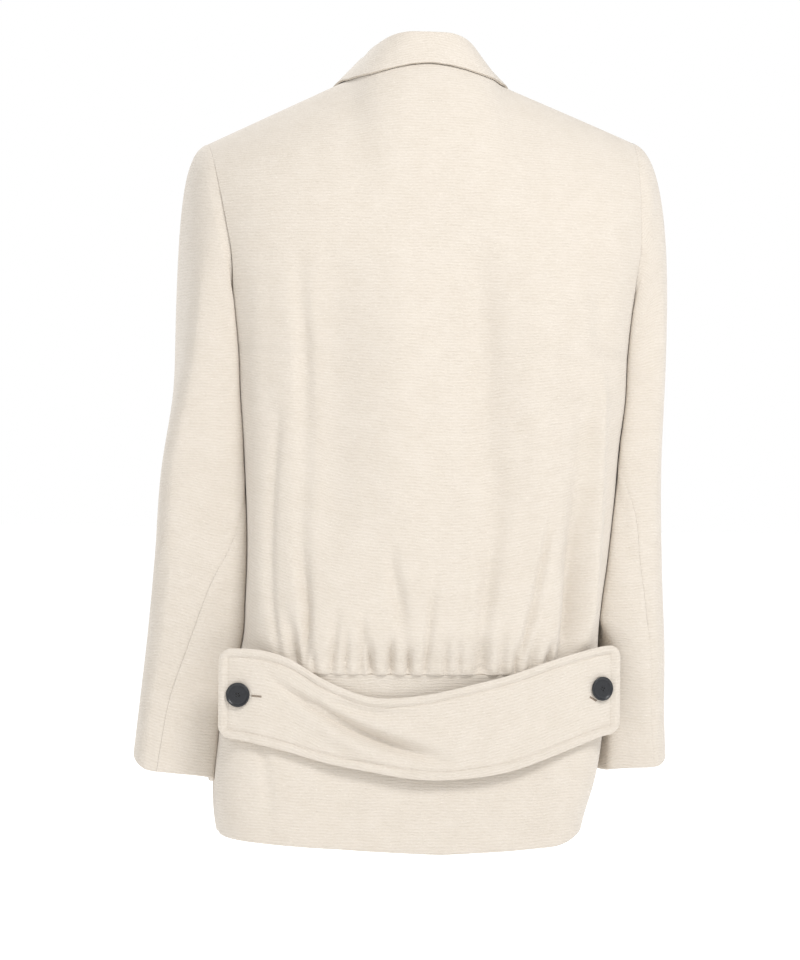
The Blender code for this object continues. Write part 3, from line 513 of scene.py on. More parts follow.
EDGE_ROLL_INSET = 0.0042
STITCH_PULL = 0.0012     # and its stitch line is pulled in
ROLL_WIDTH, PULL_WIDTH = 0.0036, 0.0014
BELT_FOLD_FADE = (0.005, 0.014)  # its folds fade in between these distances from its edge


# ================================================================ small helpers
def column(table, columns, name, at):
    """Smooth curve through one named column of a table, read at the places given."""
    rows = np.array(table, float)
    rows = rows[np.argsort(rows[:, 0])]
    x, y = rows[:, 0], rows[:, columns.index(name)]
    slope = np.gradient(y, x)
    at = np.clip(np.asarray(at, float), x[0], x[-1])
    i = np.clip(np.searchsorted(x, at) - 1, 0, len(x) - 2)
    step = x[i + 1] - x[i]
    t = (at - x[i]) / step
    near = y[i] * (1 + 2 * t) * (1 - t) ** 2 + slope[i] * step * t * (1 - t) ** 2
    far = y[i + 1] * t ** 2 * (3 - 2 * t) + slope[i + 1] * step * t ** 2 * (t - 1)
    return near + far


def ramp(value, start, end):
    """0 before start, 1 after end, eased between."""
    t = np.clip((value - start) / (end - start), 0, 1)
    return t * t * (3 - 2 * t)


def mix(a, b, share):
    return a + (b - a) * share


def bell(distance, width):
    return np.exp(-(distance / width) ** 2)


def unit(vectors):
    return vectors / np.maximum(np.linalg.norm(vectors, axis=-1, keepdims=True), 1e-12)


def surface_normals(points):
    """Unit normals of a grid of points, rows by columns."""
    return unit(np.cross(np.gradient(points, axis=1), np.gradient(points, axis=0)))


def outward_normals(points, outward):
    """The same, turned so that the middle of the grid faces outward."""
    normals = surface_normals(points)
    middle = normals[points.shape[0] // 2, points.shape[1] // 2]
    return normals if middle @ np.array(outward) > 0 else -normals


def line_length(points):
    """Length of a line of points up to each of them."""
    return np.r_[0, np.cumsum(np.linalg.norm(np.diff(points, axis=0), axis=1))]


def grid_lengths(points):
    """Cloth length up to each point of a grid: across along its row, up along its column."""
    across = np.linalg.norm(np.diff(points, axis=1), axis=2)
    across = np.cumsum(np.pad(across, ((0, 0), (1, 0))), axis=1)
    up = np.linalg.norm(np.diff(points, axis=0), axis=2)
    up = np.cumsum(np.pad(up, ((1, 0), (0, 0))), axis=0)
    return across, up


def cloth_lengths(points, reference_row):
    """Cloth coordinates of each point in metres: across from the middle, up from a row."""
    across, up = grid_lengths(points)
    across -= across[:, [points.shape[1] // 2]]
    up -= up[[reference_row], :]
    return np.stack([across, up], -1)


# ================================================================ body outline
def body_value(name, z):
    return column(BODY, BODY_COLUMNS, name, z)


def body_ring(z, angle, side):
    """Outline of the body at height z: 0 is the centre back, 180 the centre front."""
    sine, cosine = np.sin(angle), np.cos(angle)
    behind = cosine >= 0
    widest = body_value("widest", z)
    depth = np.where(behind, body_value("back", z) - widest, widest - body_value("front", z))
    power = np.where(behind, body_value("back_power", z), body_value("front_power", z))
    width = body_value("half_width", z)
    reach = ((np.abs(sine) / width) ** power + (np.abs(cosine) / depth) ** power) ** (-1 / power)
    x = body_value("centre", z) + side * reach * sine
    y = widest + reach * cosine
    return np.stack([x, y, z + 0 * x], -1)


def angle_at_depth(z, y):
    """Angle where the outline's side passes through the depth y."""
    widest = body_value("widest", z)
    behind = y >= widest
    depth = np.where(behind, body_value("back", z) - widest, widest - body_value("front", z))
    power = np.where(behind, body_value("back_power", z), body_value("front_power", z))
    share = (1 - (np.abs(y - widest) / depth) ** power) ** (1 / power)
    return np.arctan2(body_value("half_width", z) * share, y - widest)


def angle_at_front(z, distance):
    """Angle of the front's point at this distance from the centre plane."""
    width, power = body_value("half_width", z), body_value("front_power", z)
    depth = body_value("widest", z) - body_value("front", z)
    share = (1 - (abs(distance) / width) ** power) ** (1 / power)
    return np.arctan2(distance, -depth * share) % (2 * np.pi)


def even_row(z, start, end, shares, side, gap_start=0.0, gap_end=0.0):
    """Points of the outline between two angles, evenly spaced by cloth length."""
    angles = np.linspace(start, end, 481)
    points = body_ring(z, angles, side)
    length = line_length(points)
    wanted = mix(gap_start, length[-1] - gap_end, np.asarray(shares))
    return body_ring(z, np.interp(wanted, length, angles), side)


def armhole_depth(z, reach):
    """Depth of the armhole's lower half at height z, as a share of an ellipse."""
    drop = min(1.0, (YOKE_Z - z) / (YOKE_Z - UNDERARM_Z))
    return reach * np.sqrt(max(0.0, 1 - drop ** 2))


def back_edge_angle(z):
    seam = float(body_value("side_seam", z))
    if z > UNDERARM_Z:
        seam = max(seam, armhole_depth(z, ARMHOLE_BACK))
    return float(angle_at_depth(z, seam))


def front_edge_angle(z):
    seam = float(body_value("side_seam", z))
    if z > UNDERARM_Z:
        seam = min(seam, -armhole_depth(z, ARMHOLE_FRONT))
    return float(angle_at_depth(z, seam))


def turned_over(top, level, share, power):
    """Curve from the ring at the yoke level (share 0) over to the top line (share 1)."""
    quarter = (1 - share) * np.pi / 2
    out = np.sin(quarter) ** (2 / power)
    fall = 1 - np.cos(quarter) ** (2 / power)
    x = mix(top[..., 0], level[..., 0], fall)
    y = mix(top[..., 1], level[..., 1], out)
    z = mix(top[..., 2], level[..., 2], fall)
    return np.stack([x, y, z], -1)


def back_top_line(shares):
    """Neckline and shoulder seams: -1 and 1 are the shoulder tips."""
    size = np.abs(shares)
    side = np.where(shares < 0, RIGHT, LEFT)
    neck = [column(NECKLINE, NECKLINE_COLUMNS, axis, size / NECK_SHARE) for axis in "xyz"]
    neck[0] = neck[0] * side
    tips = np.where(shares < 0, np.array(SHOULDER_TIPS[RIGHT])[:, None],
                    np.array(SHOULDER_TIPS[LEFT])[:, None])
    start = np.array(NECK_POINT)[:, None] * np.stack([side, 1 + 0 * side, 1 + 0 * side])
    slope = np.clip((size - NECK_SHARE) / (1 - NECK_SHARE), 0, 1)
    line = np.where(size < NECK_SHARE, neck, mix(start, tips, slope)).T
    line[:, 1] += SEAM / 2
    return line


def body_row_back(z, shares):
    """One level row of the back, from the right side (-1) to the left (1)."""
    edge = back_edge_angle(z)
    left = even_row(z, 0.0, edge, np.clip(shares, 0, 1), LEFT, gap_end=SEAM / 2)
    right = even_row(z, 0.0, edge, np.clip(-shares, 0, 1), RIGHT, gap_end=SEAM / 2)
    return np.where((shares >= 0)[:, None], left, right)


def hang_to_hem(row, z):
    """Bend a level row below the waist so that the last one follows the hem."""
    away = np.abs(row[:, 0] - HEM_LOWEST_X) / HEM_REACH
    hem = mix(HEM_Z + HEM_RISE * away ** 1.3, HEM_FRONT_Z, ramp(-row[:, 1], -0.04, 0.10))
    hem += CORNER_LIFT * ramp(-row[:, 0], *CORNER_SPAN) ** 2
    row[:, 2] += (hem - HEM_Z) * max(0.0, (WAIST_Z - z) / (WAIST_Z - HEM_Z))
    return row


def front_edge(z):
    """Distance of a front's free edge from the centre front, at a height."""
    roll = mix(-OVERLAP, NECK_POINT[0], (z - BREAK_Z) / (NECK_POINT[2] - BREAK_Z))
    below = np.clip((HEM_Z + FRONT_CORNER - z) / FRONT_CORNER, 0, 0.999)
    corner = -OVERLAP + FRONT_CORNER * (1 - np.sqrt(1 - below ** 2))
    return float(roll if z > BREAK_Z else corner)


def front_row(z, shares, side):
    """One level row of a front, from its side seam or armhole (0) to its edge (1)."""
    end = float(angle_at_front(z, front_edge(z)))
    return even_row(z, front_edge_angle(z), end, shares, side, gap_start=SEAM / 2)


def tuck_under(rows, side):
    """The left front lies under the right one where they overlap."""
    if side == LEFT:
        near = ramp(-rows[..., 0], -0.065, -0.030) * ramp(-rows[..., 1], 0.05, 0.09)
        rows[..., 1] += near * (WALL + FRONT_GAP) * ramp(-rows[..., 2], 0.190, 0.255)
    return rows


def front_points(side, shares, heights, turns):
    rows = [front_row(z, shares, side) for z in heights]
    near_neck = np.array(NECK_POINT) * (side, 1, 1)
    top = mix(np.array(SHOULDER_TIPS[side]), near_neck, shares[:, None])
    top[:, 1] -= SEAM / 2
    level = front_row(YOKE_Z, shares, side)
    power = mix(2.0, 1.6, shares)
    rows += [turned_over(top, level, turn, power) for turn in turns]
    return tuck_under(np.array(rows), side)


def front_neck_edge(side, turn):
    """The front panel's free edge above the yoke level, up to the neck point."""
    level = front_row(YOKE_Z, np.array([1.0]), side)[0]
    top = np.array(NECK_POINT) * (side, 1, 1) - (0, SEAM / 2, 0)
    return turned_over(top, level, turn, 1.6)


# ================================================================ folds
def laid_folds(folds, along, across):
    """How far a table of folds moves each point outward, by its place along and across them."""
    moved = np.zeros_like(along)
    for rows in folds.values():
        line, width, depth = (column(rows, FOLD_COLUMNS, name, along)
                              for name in ("line", "width", "depth"))
        inside = (along > rows[-1][0] - 1e-4) & (along < rows[0][0])
        moved += np.where(inside, depth * bell(across - line, width), 0)
    return moved


def gathers(points):
    """Troughs of the gathers over the waist seam, with the cloth puffed out between."""
    x, rise = points[..., 0], points[..., 2] - WAIST_Z
    moved = np.zeros_like(x)
    for seam_x, top_x, top_z, seam_width, top_width, depth in GATHERS:
        share = rise / (top_z - WAIST_Z)
        line = mix(seam_x, top_x, np.clip(share, 0, 1) ** 1.3)
        width = mix(seam_width, top_width, np.clip(share, 0, 1))
        moved -= depth * bell(x - line, width) * (1 - ramp(share, 0.25, 1.05))
    lift = np.clip(rise / LOBE_REACH, 0, 1)
    lobe = LOBE_HEIGHT * (np.sqrt(1 - (1 - lift) ** 2) - lift) / 0.414    # 0.414: its peak
    return moved * mix(SEAM_HOLD, 1.0, ramp(rise, 0.0, 0.006)) + lobe


def waist_swell(points):
    """The cloth on both sides of the waist seam stands out a little in the middle."""
    out = column(WAIST_SWELL, SWELL_COLUMNS, "out", points[..., 2])
    return out * (1 - ramp(np.abs(points[..., 0]), *SWELL_WIDTH))


def relaxed(points, first, rounds=80):
    """Even out the rows above a level, less towards the last one, which stays put."""
    hold = np.linspace(1, 0, len(points) - first + 1)[1:, None, None] * 0.5
    part = points[first:]
    for _ in range(rounds):
        between = (part[:, :-2] + part[:, 2:]) / 2
        part[:, 1:-1] += (between - part[:, 1:-1]) * hold
    return points


def away_from_edges(points, reach, top=True, bottom=True, sides=True):
    """0 on a panel's seams and 1 further in than the reach, by cloth length."""
    inside = np.ones(points.shape[:2])
    across, up = grid_lengths(points)
    if bottom:
        inside *= ramp(up, 0, reach)
    if top:
        inside *= ramp(up[-1:] - up, 0, reach)
    if sides:
        inside *= ramp(across, 0, reach) * ramp(across[:, -1:] - across, 0, reach)
    return inside


# ================================================================ cloth pieces
def cloth_piece(name, points, lengths, outward, wall=WALL, edge=0.0009):
    """A fine panel from rows of points: its own wall, softened edges and cloth lengths."""
    rows, columns = points.shape[:2]
    bm = bmesh.new()
    bmesh.ops.create_grid(bm, x_segments=columns - 1, y_segments=rows - 1, size=0.5)
    bm.verts.ensure_lookup_table()
    for vert, place in zip(bm.verts, points.reshape(-1, 3)):
        vert.co = place
    layer = bm.loops.layers.uv.new("cloth")
    flat = lengths.reshape(-1, 2)
    for face in bm.faces:
        for loop in face.loops:
            loop[layer].uv = flat[loop.vert.index]
    middle = surface_normals(points)[rows // 2, columns // 2]
    if middle @ np.array(outward) < 0:
        bmesh.ops.reverse_faces(bm, faces=bm.faces)
    piece = finish(name, bm, "wool")
    solid = piece.modifiers.new("wall", "SOLIDIFY")
    solid.thickness = wall
    solid.offset = -1.0
    soften(piece, edge)
    return piece


def mesh_from(name, bm):
    mesh = bpy.data.meshes.new(name)
    bm.to_mesh(mesh)
    bm.free()
    return mesh


def placed(name, data):
    made = bpy.data.objects.new(name, data)
    bpy.context.scene.collection.objects.link(made)
    return made


def finish(name, bm, kind):
    """A visible piece of a kind of material, on the one body."""
    mesh = mesh_from(name, bm)
    mesh.shade_smooth()
    piece = placed(name, mesh)
    mesh.materials.append(MATERIALS[kind])
    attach(piece, "root")
    return piece


def soften(piece, width, segments=3):
    edge = piece.modifiers.new("soft_edge", "BEVEL")
    edge.width = width
    edge.segments = segments
    edge.limit_method = "ANGLE"
    edge.angle_limit = math.radians(50)


def turned_in(points, normals, depth, radius=0.00225, steps=7):
    """Rows that fold the first row of a panel round its edge and up its inner side."""
    up = unit(points[1] - points[0])
    turn = [points[0] - normals[0] * radius * (1 - math.cos(a)) - up * radius * math.sin(a)
            for a in np.linspace(0, math.pi, steps)[:0:-1]]
    along = np.cumsum(np.r_[0, np.linalg.norm(np.diff(points, axis=0), axis=2).mean(axis=1)])
    inner = [points[i] - normals[i] * 2 * radius
             for i in range(len(points)) if 0 < along[i] < depth]
    return np.array(inner[::-1] + turn + list(points))


# ================================================================ body panels
def make_back():
    shares = np.linspace(-1, 1, 211)
    low = WAIST_Z + SEAM + np.r_[np.arange(0, 0.012, 0.0014), np.arange(0.012, 0.07, 0.0026)]
    heights = np.r_[low, np.linspace(low[-1] + 0.004, YOKE_Z, 82)]
    rows = [body_row_back(z, shares) for z in heights]
    level, top = body_row_back(YOKE_Z, shares), back_top_line(shares)
    power = mix(1.5, 2.0, np.abs(shares))
    rows += [turned_over(top, level, turn, power) for turn in np.linspace(0, 1, 30)[1:]]
    points = relaxed(np.array(rows), len(heights))
    normals = outward_normals(points, (0, 1, 0))
    inside = away_from_edges(points, FOLD_REACH, bottom=False)
    moved = laid_folds(BACK_FOLDS, points[..., 2], points[..., 0]) + gathers(points)
    moved = moved * inside + waist_swell(points)
    points = points + normals * moved[..., None]
    return cloth_piece("cloth_back", points, cloth_lengths(points, len(heights) - 1), (0, 1, 0))


def make_back_band():
    shares = np.linspace(-1, 1, 181)
    heights = np.linspace(HEM_Z, WAIST_Z - SEAM / 2, 64)
    points = np.array([hang_to_hem(body_row_back(z, shares), z) for z in heights])
    normals = outward_normals(points, (0, 1, 0))
    inside = away_from_edges(points, FOLD_REACH, bottom=False)
    moved = laid_folds(BAND_FOLDS, points[..., 2], points[..., 0]) * inside
    moved += waist_swell(points)
    points = points + normals * moved[..., None]
    normals = outward_normals(points, (0, 1, 0))
    points = turned_in(points, normals, BAND_HEM)
    return cloth_piece("cloth_back_band", points, cloth_lengths(points, len(points) - 1),
                       (0, 1, 0))


def make_front(name, side):
    shares = np.linspace(0, 1, 96)
    corner = HEM_Z + FRONT_CORNER * (1 - np.cos(np.linspace(0.02, 1, 16) * np.pi / 2))
    heights = np.r_[corner, np.linspace(HEM_Z + FRONT_CORNER, YOKE_Z, 130)[1:]]
    points = front_points(side, shares, heights, np.linspace(0, 1, 30)[1:])
    for row, z in zip(points, heights):
        hang_to_hem(row, z)
    outward = (0, -1, 0)
    normals = outward_normals(points, outward)
    inside = away_from_edges(points, FOLD_REACH, bottom=False)
    moved = laid_folds(FRONT_FOLDS, points[..., 2], side * points[..., 0]) * inside
    points = points + normals * moved[..., None]
    return cloth_piece(name, points, cloth_lengths(points, len(heights) - 1), outward)


# ================================================================ sleeves
def armhole_points(side, angles):
    """The armhole seam: 0 on the shoulder, 90 behind, 180 underarm, -90 in front."""
    sine, cosine = np.sin(angles), np.cos(angles)
    y = np.where(sine >= 0, ARMHOLE_BACK, ARMHOLE_FRONT) * sine
    level_y = np.where(sine >= 0, ARMHOLE_BACK, -ARMHOLE_FRONT)
    level = body_ring(YOKE_Z, angle_at_depth(YOKE_Z, level_y), side)
    top, fall = SHOULDER_TIPS[side], 1 - cosine
    upper = np.stack([mix(top[0], level[..., 0], fall), y, mix(top[2], YOKE_Z, fall)], -1)
    z = YOKE_Z + (YOKE_Z - UNDERARM_Z) * np.minimum(cosine, 0)
    lower = body_ring(z, angle_at_depth(z, y), side)
    return np.where((cosine >= 0)[..., None], upper, lower)


def sleeve_ring(side, angles, z):
    """Outline of a sleeve below its head: 0 is its outer side, 90 its back."""
    read = {name: column(SLEEVES[side], SLEEVE_COLUMNS, name, z) for name in SLEEVE_COLUMNS}
    centre, half = (read["outer"] + read["inner"]) / 2, (read["outer"] - read["inner"]) / 2
    cosine, sine = (np.sign(v) * np.abs(v) ** (2 / SLEEVE_POWER)
                    for v in (np.cos(angles), np.sin(angles)))
    behind = np.where(sine > 0, read["back"] - read["middle"], read["middle"] - read["front"])
    x = side * (centre + half * cosine + read["lean"] * behind * sine)
    return np.stack([x, read["middle"] + behind * sine, z + 0 * x], -1)


def sleeve_row(side, angles, along):
    """Points of a sleeve: along -1 at the armhole, 0 under the head, 1 at the cuff."""
    if along >= 0:
        cuff = CUFF_Z[side] + CUFF_TILT[side] * np.cos(angles)
        cuff = cuff + CUFF_RISE[side] * np.maximum(np.cos(angles), 0) ** 3
        return sleeve_ring(side, angles, mix(BICEPS_Z, cuff, along))
    start, end = armhole_points(side, angles), sleeve_ring(side, angles, BICEPS_Z + 0 * angles)
    degrees = np.abs(np.degrees((angles + np.pi) % (2 * np.pi) - np.pi))
    outward = column(HEAD, HEAD_COLUMNS, "outward", degrees) * HEAD_FULLNESS[side]
    down = column(HEAD, HEAD_COLUMNS, "down", degrees)
    leave = np.stack([side * outward, 0 * outward, -down], -1)
    arrive = sleeve_ring(side, angles, BICEPS_Z - 0.01 + 0 * angles) - end
    arrive *= (start[:, 2:] - end[:, 2:]) / 0.01
    t = 1 + along
    start = start + unit(leave) * SEAM * (1 - t)
    return (start * (1 + 2 * t) * (1 - t) ** 2 + leave * t * (1 - t) ** 2
            + end * t ** 2 * (3 - 2 * t) + arrive * t ** 2 * (t - 1))


def panel_angles(side, under, along, count):
    """Angles of a panel's columns from its back seam to its front seam, evenly spaced."""
    behind = float(column(BACK_SEAM[side], SEAM_COLUMNS, "angle", along))
    front = 360 + FRONT_SEAM_ANGLE if under else FRONT_SEAM_ANGLE
    angles = np.linspace(behind, front, 721)
    points = sleeve_row(side, np.radians(angles), along)
    length = line_length(points)
    return np.interp(np.linspace(SEAM / 2, length[-1] - SEAM / 2, count), length, angles)


def pressed_to_body(side, points, angles):
    """Close the room between a sleeve's inner side and the body."""
    x, y, z = np.moveaxis(points, -1, 0)
    body = side * body_ring(z, angle_at_depth(z, y), side)[..., 0]
    start, full, hold, end = PRESS_ANGLES[side]
    angles = np.mod(angles, 360)     # both panels read the same turn at their seams
    share = ramp(angles, start, full) * (1 - ramp(angles, hold, end))
    share *= np.clip(column(PRESS[side], PRESS_COLUMNS, "share", z), 0, 1)
    closed = np.maximum(side * x - body - PRESS_CLEARANCE, 0) * share
    return points - np.stack([side * closed, 0 * y, 0 * z], -1)


TOP_COLUMNS, UNDER_COLUMNS = 104, 56
SLEEVE_ROWS, HEAD_ROWS = 122, 60       # from the cuff to the head, and up the head


def make_sleeve_panel(name, side, under):
    count = UNDER_COLUMNS if under else TOP_COLUMNS
    steps = np.r_[np.linspace(1, 0, SLEEVE_ROWS), np.linspace(0, -1, HEAD_ROWS)[1:]]
    angles = np.array([panel_angles(side, under, along, count) for along in steps])
    points = np.array([sleeve_row(side, np.radians(row), along)
                       for row, along in zip(angles, steps)])
    points = pressed_to_body(side, points, angles)
    centre = points.mean(axis=(0, 1))
    outward = points[len(points) // 2, count // 2] - centre
    normals = outward_normals(points, outward)
    inside = away_from_edges(points, SLEEVE_FOLD_REACH, bottom=False)
    recess = 1 - away_from_edges(points, RECESS_REACH, bottom=False, sides=False)
    recess *= ramp(np.abs(angles), *RECESS_ANGLES)
    moved = laid_folds(SLEEVE_FOLDS[side], points[..., 2], angles) * inside
    moved -= ARMHOLE_RECESS[side] * recess
    moved -= SEAM_DIP * (1 - away_from_edges(points, DIP_REACH, top=False, bottom=False))
    points = points + normals * moved[..., None]
    normals = outward_normals(points, outward)
    whole = turned_in(points, normals, SLEEVE_HEM)
    under_head = SLEEVE_ROWS - 1 + len(whole) - len(points)
    return cloth_piece(name, whole, cloth_lengths(whole, under_head), outward)


# ================================================================ lapels and collar
def lapel_width(z):
    top = float(front_neck_edge(LEFT, GORGE_TURN)[2])
    return float(column(LAPEL, LAPEL_COLUMNS, "width", (z - BREAK_Z) / (top - BREAK_Z)))


def make_lapel(name, side):
    """The lapel lies on the front panel's own rows, moved out."""
    heights = np.linspace(LAPEL_START_Z[side], YOKE_Z, 64)
    turns = np.linspace(0, GORGE_TURN, 20)[1:]
    full = front_points(side, np.linspace(0, 1, 161), heights, turns)
    normals = outward_normals(full, (0, -1, 0))
    lifted = full + normals * (WALL + CLOTH_LIFT)
    rows = []
    for row in lifted:
        edge = row[::-1]
        length = line_length(edge)
        hidden = max(0.0, -2 * front_edge(edge[0, 2]) + 0.0015) if side == LEFT else 0.0
        wanted = np.linspace(hidden, lapel_width(edge[0, 2]), 40)
        rows.append(np.stack([np.interp(wanted, length, edge[:, k]) for k in range(3)], -1))
    points = np.array(rows)
    return cloth_piece(name, points, cloth_lengths(points, 0), (0, -1, 0))


def collar_seam(along, side):
    """Where the stand rises: along the back of the neck, then down the front edge."""
    if along <= 0.5:
        place = back_top_line(np.array([2 * along * NECK_SHARE * side]))[0]
    else:
        place = front_neck_edge(side, mix(1.0, GORGE_TURN + GORGE_GAP, 2 * along - 1))
    return place + (0, 0, COLLAR_SEAT)


def collar_profile(along, side):
    """One section of the folded collar, from the neck seam over the fold to the edge."""
    read = {name: float(column(COLLAR, COLLAR_COLUMNS, name, along)) for name in COLLAR_COLUMNS}
    seam = collar_seam(along, side)
    fold = np.array([side * read["fold_x"], read["fold_y"], read["fold_z"]])
    edge = np.array([side * read["edge_x"], read["edge_y"], fold[2] - 0.030])
    up, down = fold - seam, edge - fold
    outward = unit(down - up * (down @ up) / (up @ up))
    rise = unit(up)
    middle = fold + outward * FOLD_RADIUS - rise * FOLD_RADIUS
    turn = [middle + FOLD_RADIUS * (-outward * np.cos(a) + rise * np.sin(a))
            for a in np.radians(np.linspace(0, 150, 13))]
    stand = [mix(seam, turn[0], share) for share in np.linspace(0, 1, 12)[:-1]]
    fall = [mix(turn[-1], edge, share) for share in np.linspace(0, 1, 19)[1:]]
    return np.array(stand + turn + fall), len(stand) + len(turn) - 1


def make_collar(body):
    stations = np.linspace(0, 1, 60)
    sections = [collar_profile(s, RIGHT)[0] for s in stations[:0:-1]]
    sections += [collar_profile(s, LEFT)[0] for s in stations]
    bend = collar_profile(0.0, LEFT)[1]
    points = np.array(sections)
    clearance = WALL + COLLAR_LIFT
    for row in points:
        lowest = np.full(len(row), -1.0)
        for i in range(bend + 1, len(row)):
            above = Vector((row[i][0], row[i][1], 0.3))
            hit, normal = body.ray_cast(above, Vector((0, 0, -1)))[:2]
            if hit is not None:
                lowest[i] = hit.z + clearance / max(0.35, abs(normal.z))
        if lowest[-1] > -1.0:
            row[-1][2] = lowest[-1]
            shares = np.linspace(0, 1, len(row) - bend)[1:, None]
            row[bend + 1:] = mix(row[bend], row[-1].copy(), shares)
        row[:, 2] = np.maximum(row[:, 2], lowest)
    swapped = points.transpose(1, 0, 2)[::-1]
    return cloth_piece("cloth_collar", swapped, cloth_lengths(swapped, 0), (0, 1, 0.3),
                       edge=0.0010)


def search_tree(*pieces):
    """The pieces' open surfaces, for what lies on them."""
    verts, faces = [], []
    for piece in pieces:
        start = len(verts)
        verts += [v.co.copy() for v in piece.data.vertices]
        faces += [[start + i for i in face.vertices] for face in piece.data.polygons]
    return BVHTree.FromPolygons(verts, faces)


def search_grid(points):
    """The same for a grid of points, rows by columns."""
    rows, columns = points.shape[:2]
    faces = [(i, i + 1, i + columns + 1, i + columns)
             for i in range((rows - 1) * columns) if (i + 1) % columns]
    return BVHTree.FromPolygons([Vector(p) for p in points.reshape(-1, 3)], faces)


# ================================================================ half belt
def belt_point(x, share, inset=0.0):
    """A point halfway through the belt: share 0 at its lower edge, 1 at its upper one."""
    read = {name: float(column(BELT, BELT_COLUMNS, name, x)) for name in BELT_COLUMNS}
    z = mix(read["bottom"] + inset, read["top"] - inset, share)
    depth = mix(read["top_depth"], read["bottom_depth"],
                (read["top"] - z) / (read["top"] - read["bottom"]))
    return np.array((x, depth, z))


def belt_share(x, z):
    low, high = belt_point(x, 0.0)[2], belt_point(x, 1.0)[2]
    return (z - low) / (high - low)


def belt_facing(x, z):
    """Direction that the belt's outer side faces at a place on it."""
    step = 0.010
    share = belt_share(x, z)
    across = belt_point(x - step, share) - belt_point(x + step, share)
    upward = belt_point(x, share + 0.1) - belt_point(x, share - 0.1)
    facing = np.cross(across, upward)
    return facing / np.linalg.norm(facing) * np.sign(facing[1])


def belt_inset(x):
    """How much the rounded corners shorten the belt's height at x."""
    from_end = min(BELT[0][0] - x, x - BELT[-1][0])
    short = max(0.0, BELT_CORNER - from_end)
    return BELT_CORNER - math.sqrt(max(0.0, BELT_CORNER ** 2 - short ** 2))


def make_half_belt():
    end_left, end_right = BELT[0][0], BELT[-1][0]
    ease = BELT_CORNER * (1 - np.cos(np.linspace(0.0, 1, 10) * np.pi / 2))
    inner = np.linspace(end_left - BELT_CORNER, end_right + BELT_CORNER, 168)[1:-1]
    places = np.r_[end_left - ease, inner, end_right + ease[::-1]]
    shares = (1 - np.cos(np.linspace(0, 1, 61) * np.pi)) / 2
    shares = mix(shares, np.linspace(0, 1, 61), 0.6)
    points = np.array([[belt_point(x, share, belt_inset(x)) for share in shares]
                       for x in places])
    normals = outward_normals(points, (0, 1, 0))
    from_side = np.minimum(places[0] - points[..., 0], points[..., 0] - places[-1])
    height = grid_lengths(points)[0]
    from_long = np.minimum(height, height[:, -1:] - height)
    from_edge = np.minimum(from_side, from_long)
    roll = (EDGE_ROLL * bell(from_edge - EDGE_ROLL_INSET, ROLL_WIDTH)
            - STITCH_PULL * bell(from_edge - STITCH_INSET, PULL_WIDTH))
    fold = laid_folds(BELT_FOLDS, points[..., 0], points[..., 2])
    fold *= ramp(from_edge, *BELT_FOLD_FADE)
    surface = points + normals * (BELT_WALL / 2 + roll + fold)[..., None]
    belt = cloth_piece("cloth_half_belt", surface, cloth_lengths(surface.transpose(1, 0, 2), 30)
                       .transpose(1, 0, 2), (0, 1, 0), wall=BELT_WALL, edge=0.0019)
    return belt, surface


def stitch(bm, start, end, radius):
    """One straight stitch: a thread with tapered ends, lying on the cloth."""
    direction = Vector(end) - Vector(start)
    turn = direction.to_track_quat("Z", "Y").to_matrix().to_4x4()
    made = bmesh.ops.create_uvsphere(bm, u_segments=6, v_segments=4, radius=1.0)
    bmesh.ops.scale(bm, vec=(radius, radius, direction.length / 2), verts=made["verts"])
    place = Matrix.Translation((Vector(start) + Vector(end)) / 2) @ turn
    bmesh.ops.transform(bm, matrix=place, verts=made["verts"])


def make_belt_stitches(belt_surface):
    """Topstitching all round the belt, a little way inside its edge."""
    tree = search_grid(belt_surface)
    end_left, end_right = BELT[0][0] - STITCH_INSET, BELT[-1][0] + STITCH_INSET
    along = np.linspace(end_left, end_right, 240)
    top = [belt_point(x, 1.0) - (0, 0, STITCH_INSET) for x in along]
    bottom = [belt_point(x, 0.0) + (0, 0, STITCH_INSET) for x in along[::-1]]
    right = [mix(top[-1], bottom[0], s) for s in np.linspace(0, 1, 40)[1:-1]]
    left = [mix(bottom[-1], top[0], s) for s in np.linspace(0, 1, 40)[1:-1]]
    route = np.array(top + right + bottom + left + [top[0]])
    length = line_length(route)
    bm = bmesh.new()
    for start in np.arange(0, length[-1] - STITCH_LENGTH, STITCH_PITCH):
        ends = []
        for at in (start, start + STITCH_LENGTH):
            place = Vector([np.interp(at, length, route[:, k]) for k in range(3)])
            hit, normal = tree.find_nearest(place)[:2]
            outward = normal if normal.y > 0 else -normal
            ends.append(hit + outward * THREAD_RADIUS * 0.6)
        stitch(bm, *ends, THREAD_RADIUS)
    return finish("belt_topstitch", bm, "wool")


# ================================================================ buttons
def upright(facing):
    """Turn that points a piece's Z along the facing and keeps its Y upward."""
    forward = Vector(facing).normalized()
    across = Vector((0, 0, 1)).cross(forward).normalized()
    return Matrix((across, forward.cross(across), forward)).transposed().to_4x4()


DISH_RADIUS = 0.0090     # the face's fine turned rings end here
DISH_HEIGHT = 0.00195
RING_PITCH = 0.00045
RING_HEIGHT = 0.00002
BUTTON_RIM = (           # radius and height, from the dish over the rim to the back's middle
    (0.0093, 0.00170),
    (0.0097, 0.00178),
    (0.0102, 0.00235),
    (0.0107, 0.00275),
    (0.0113, 0.00290),
    (0.0119, 0.00270),
    (0.0122, 0.00220),
    (0.0122, 0.00140),
    (0.0117, 0.00060),
    (0.0106, 0.00005),
    (0.0000, 0.00000),
)
HOLE_RADIUS = 0.00062
HOLE_SPREAD = 0.00125    # each hole's distance from the button's middle, both ways


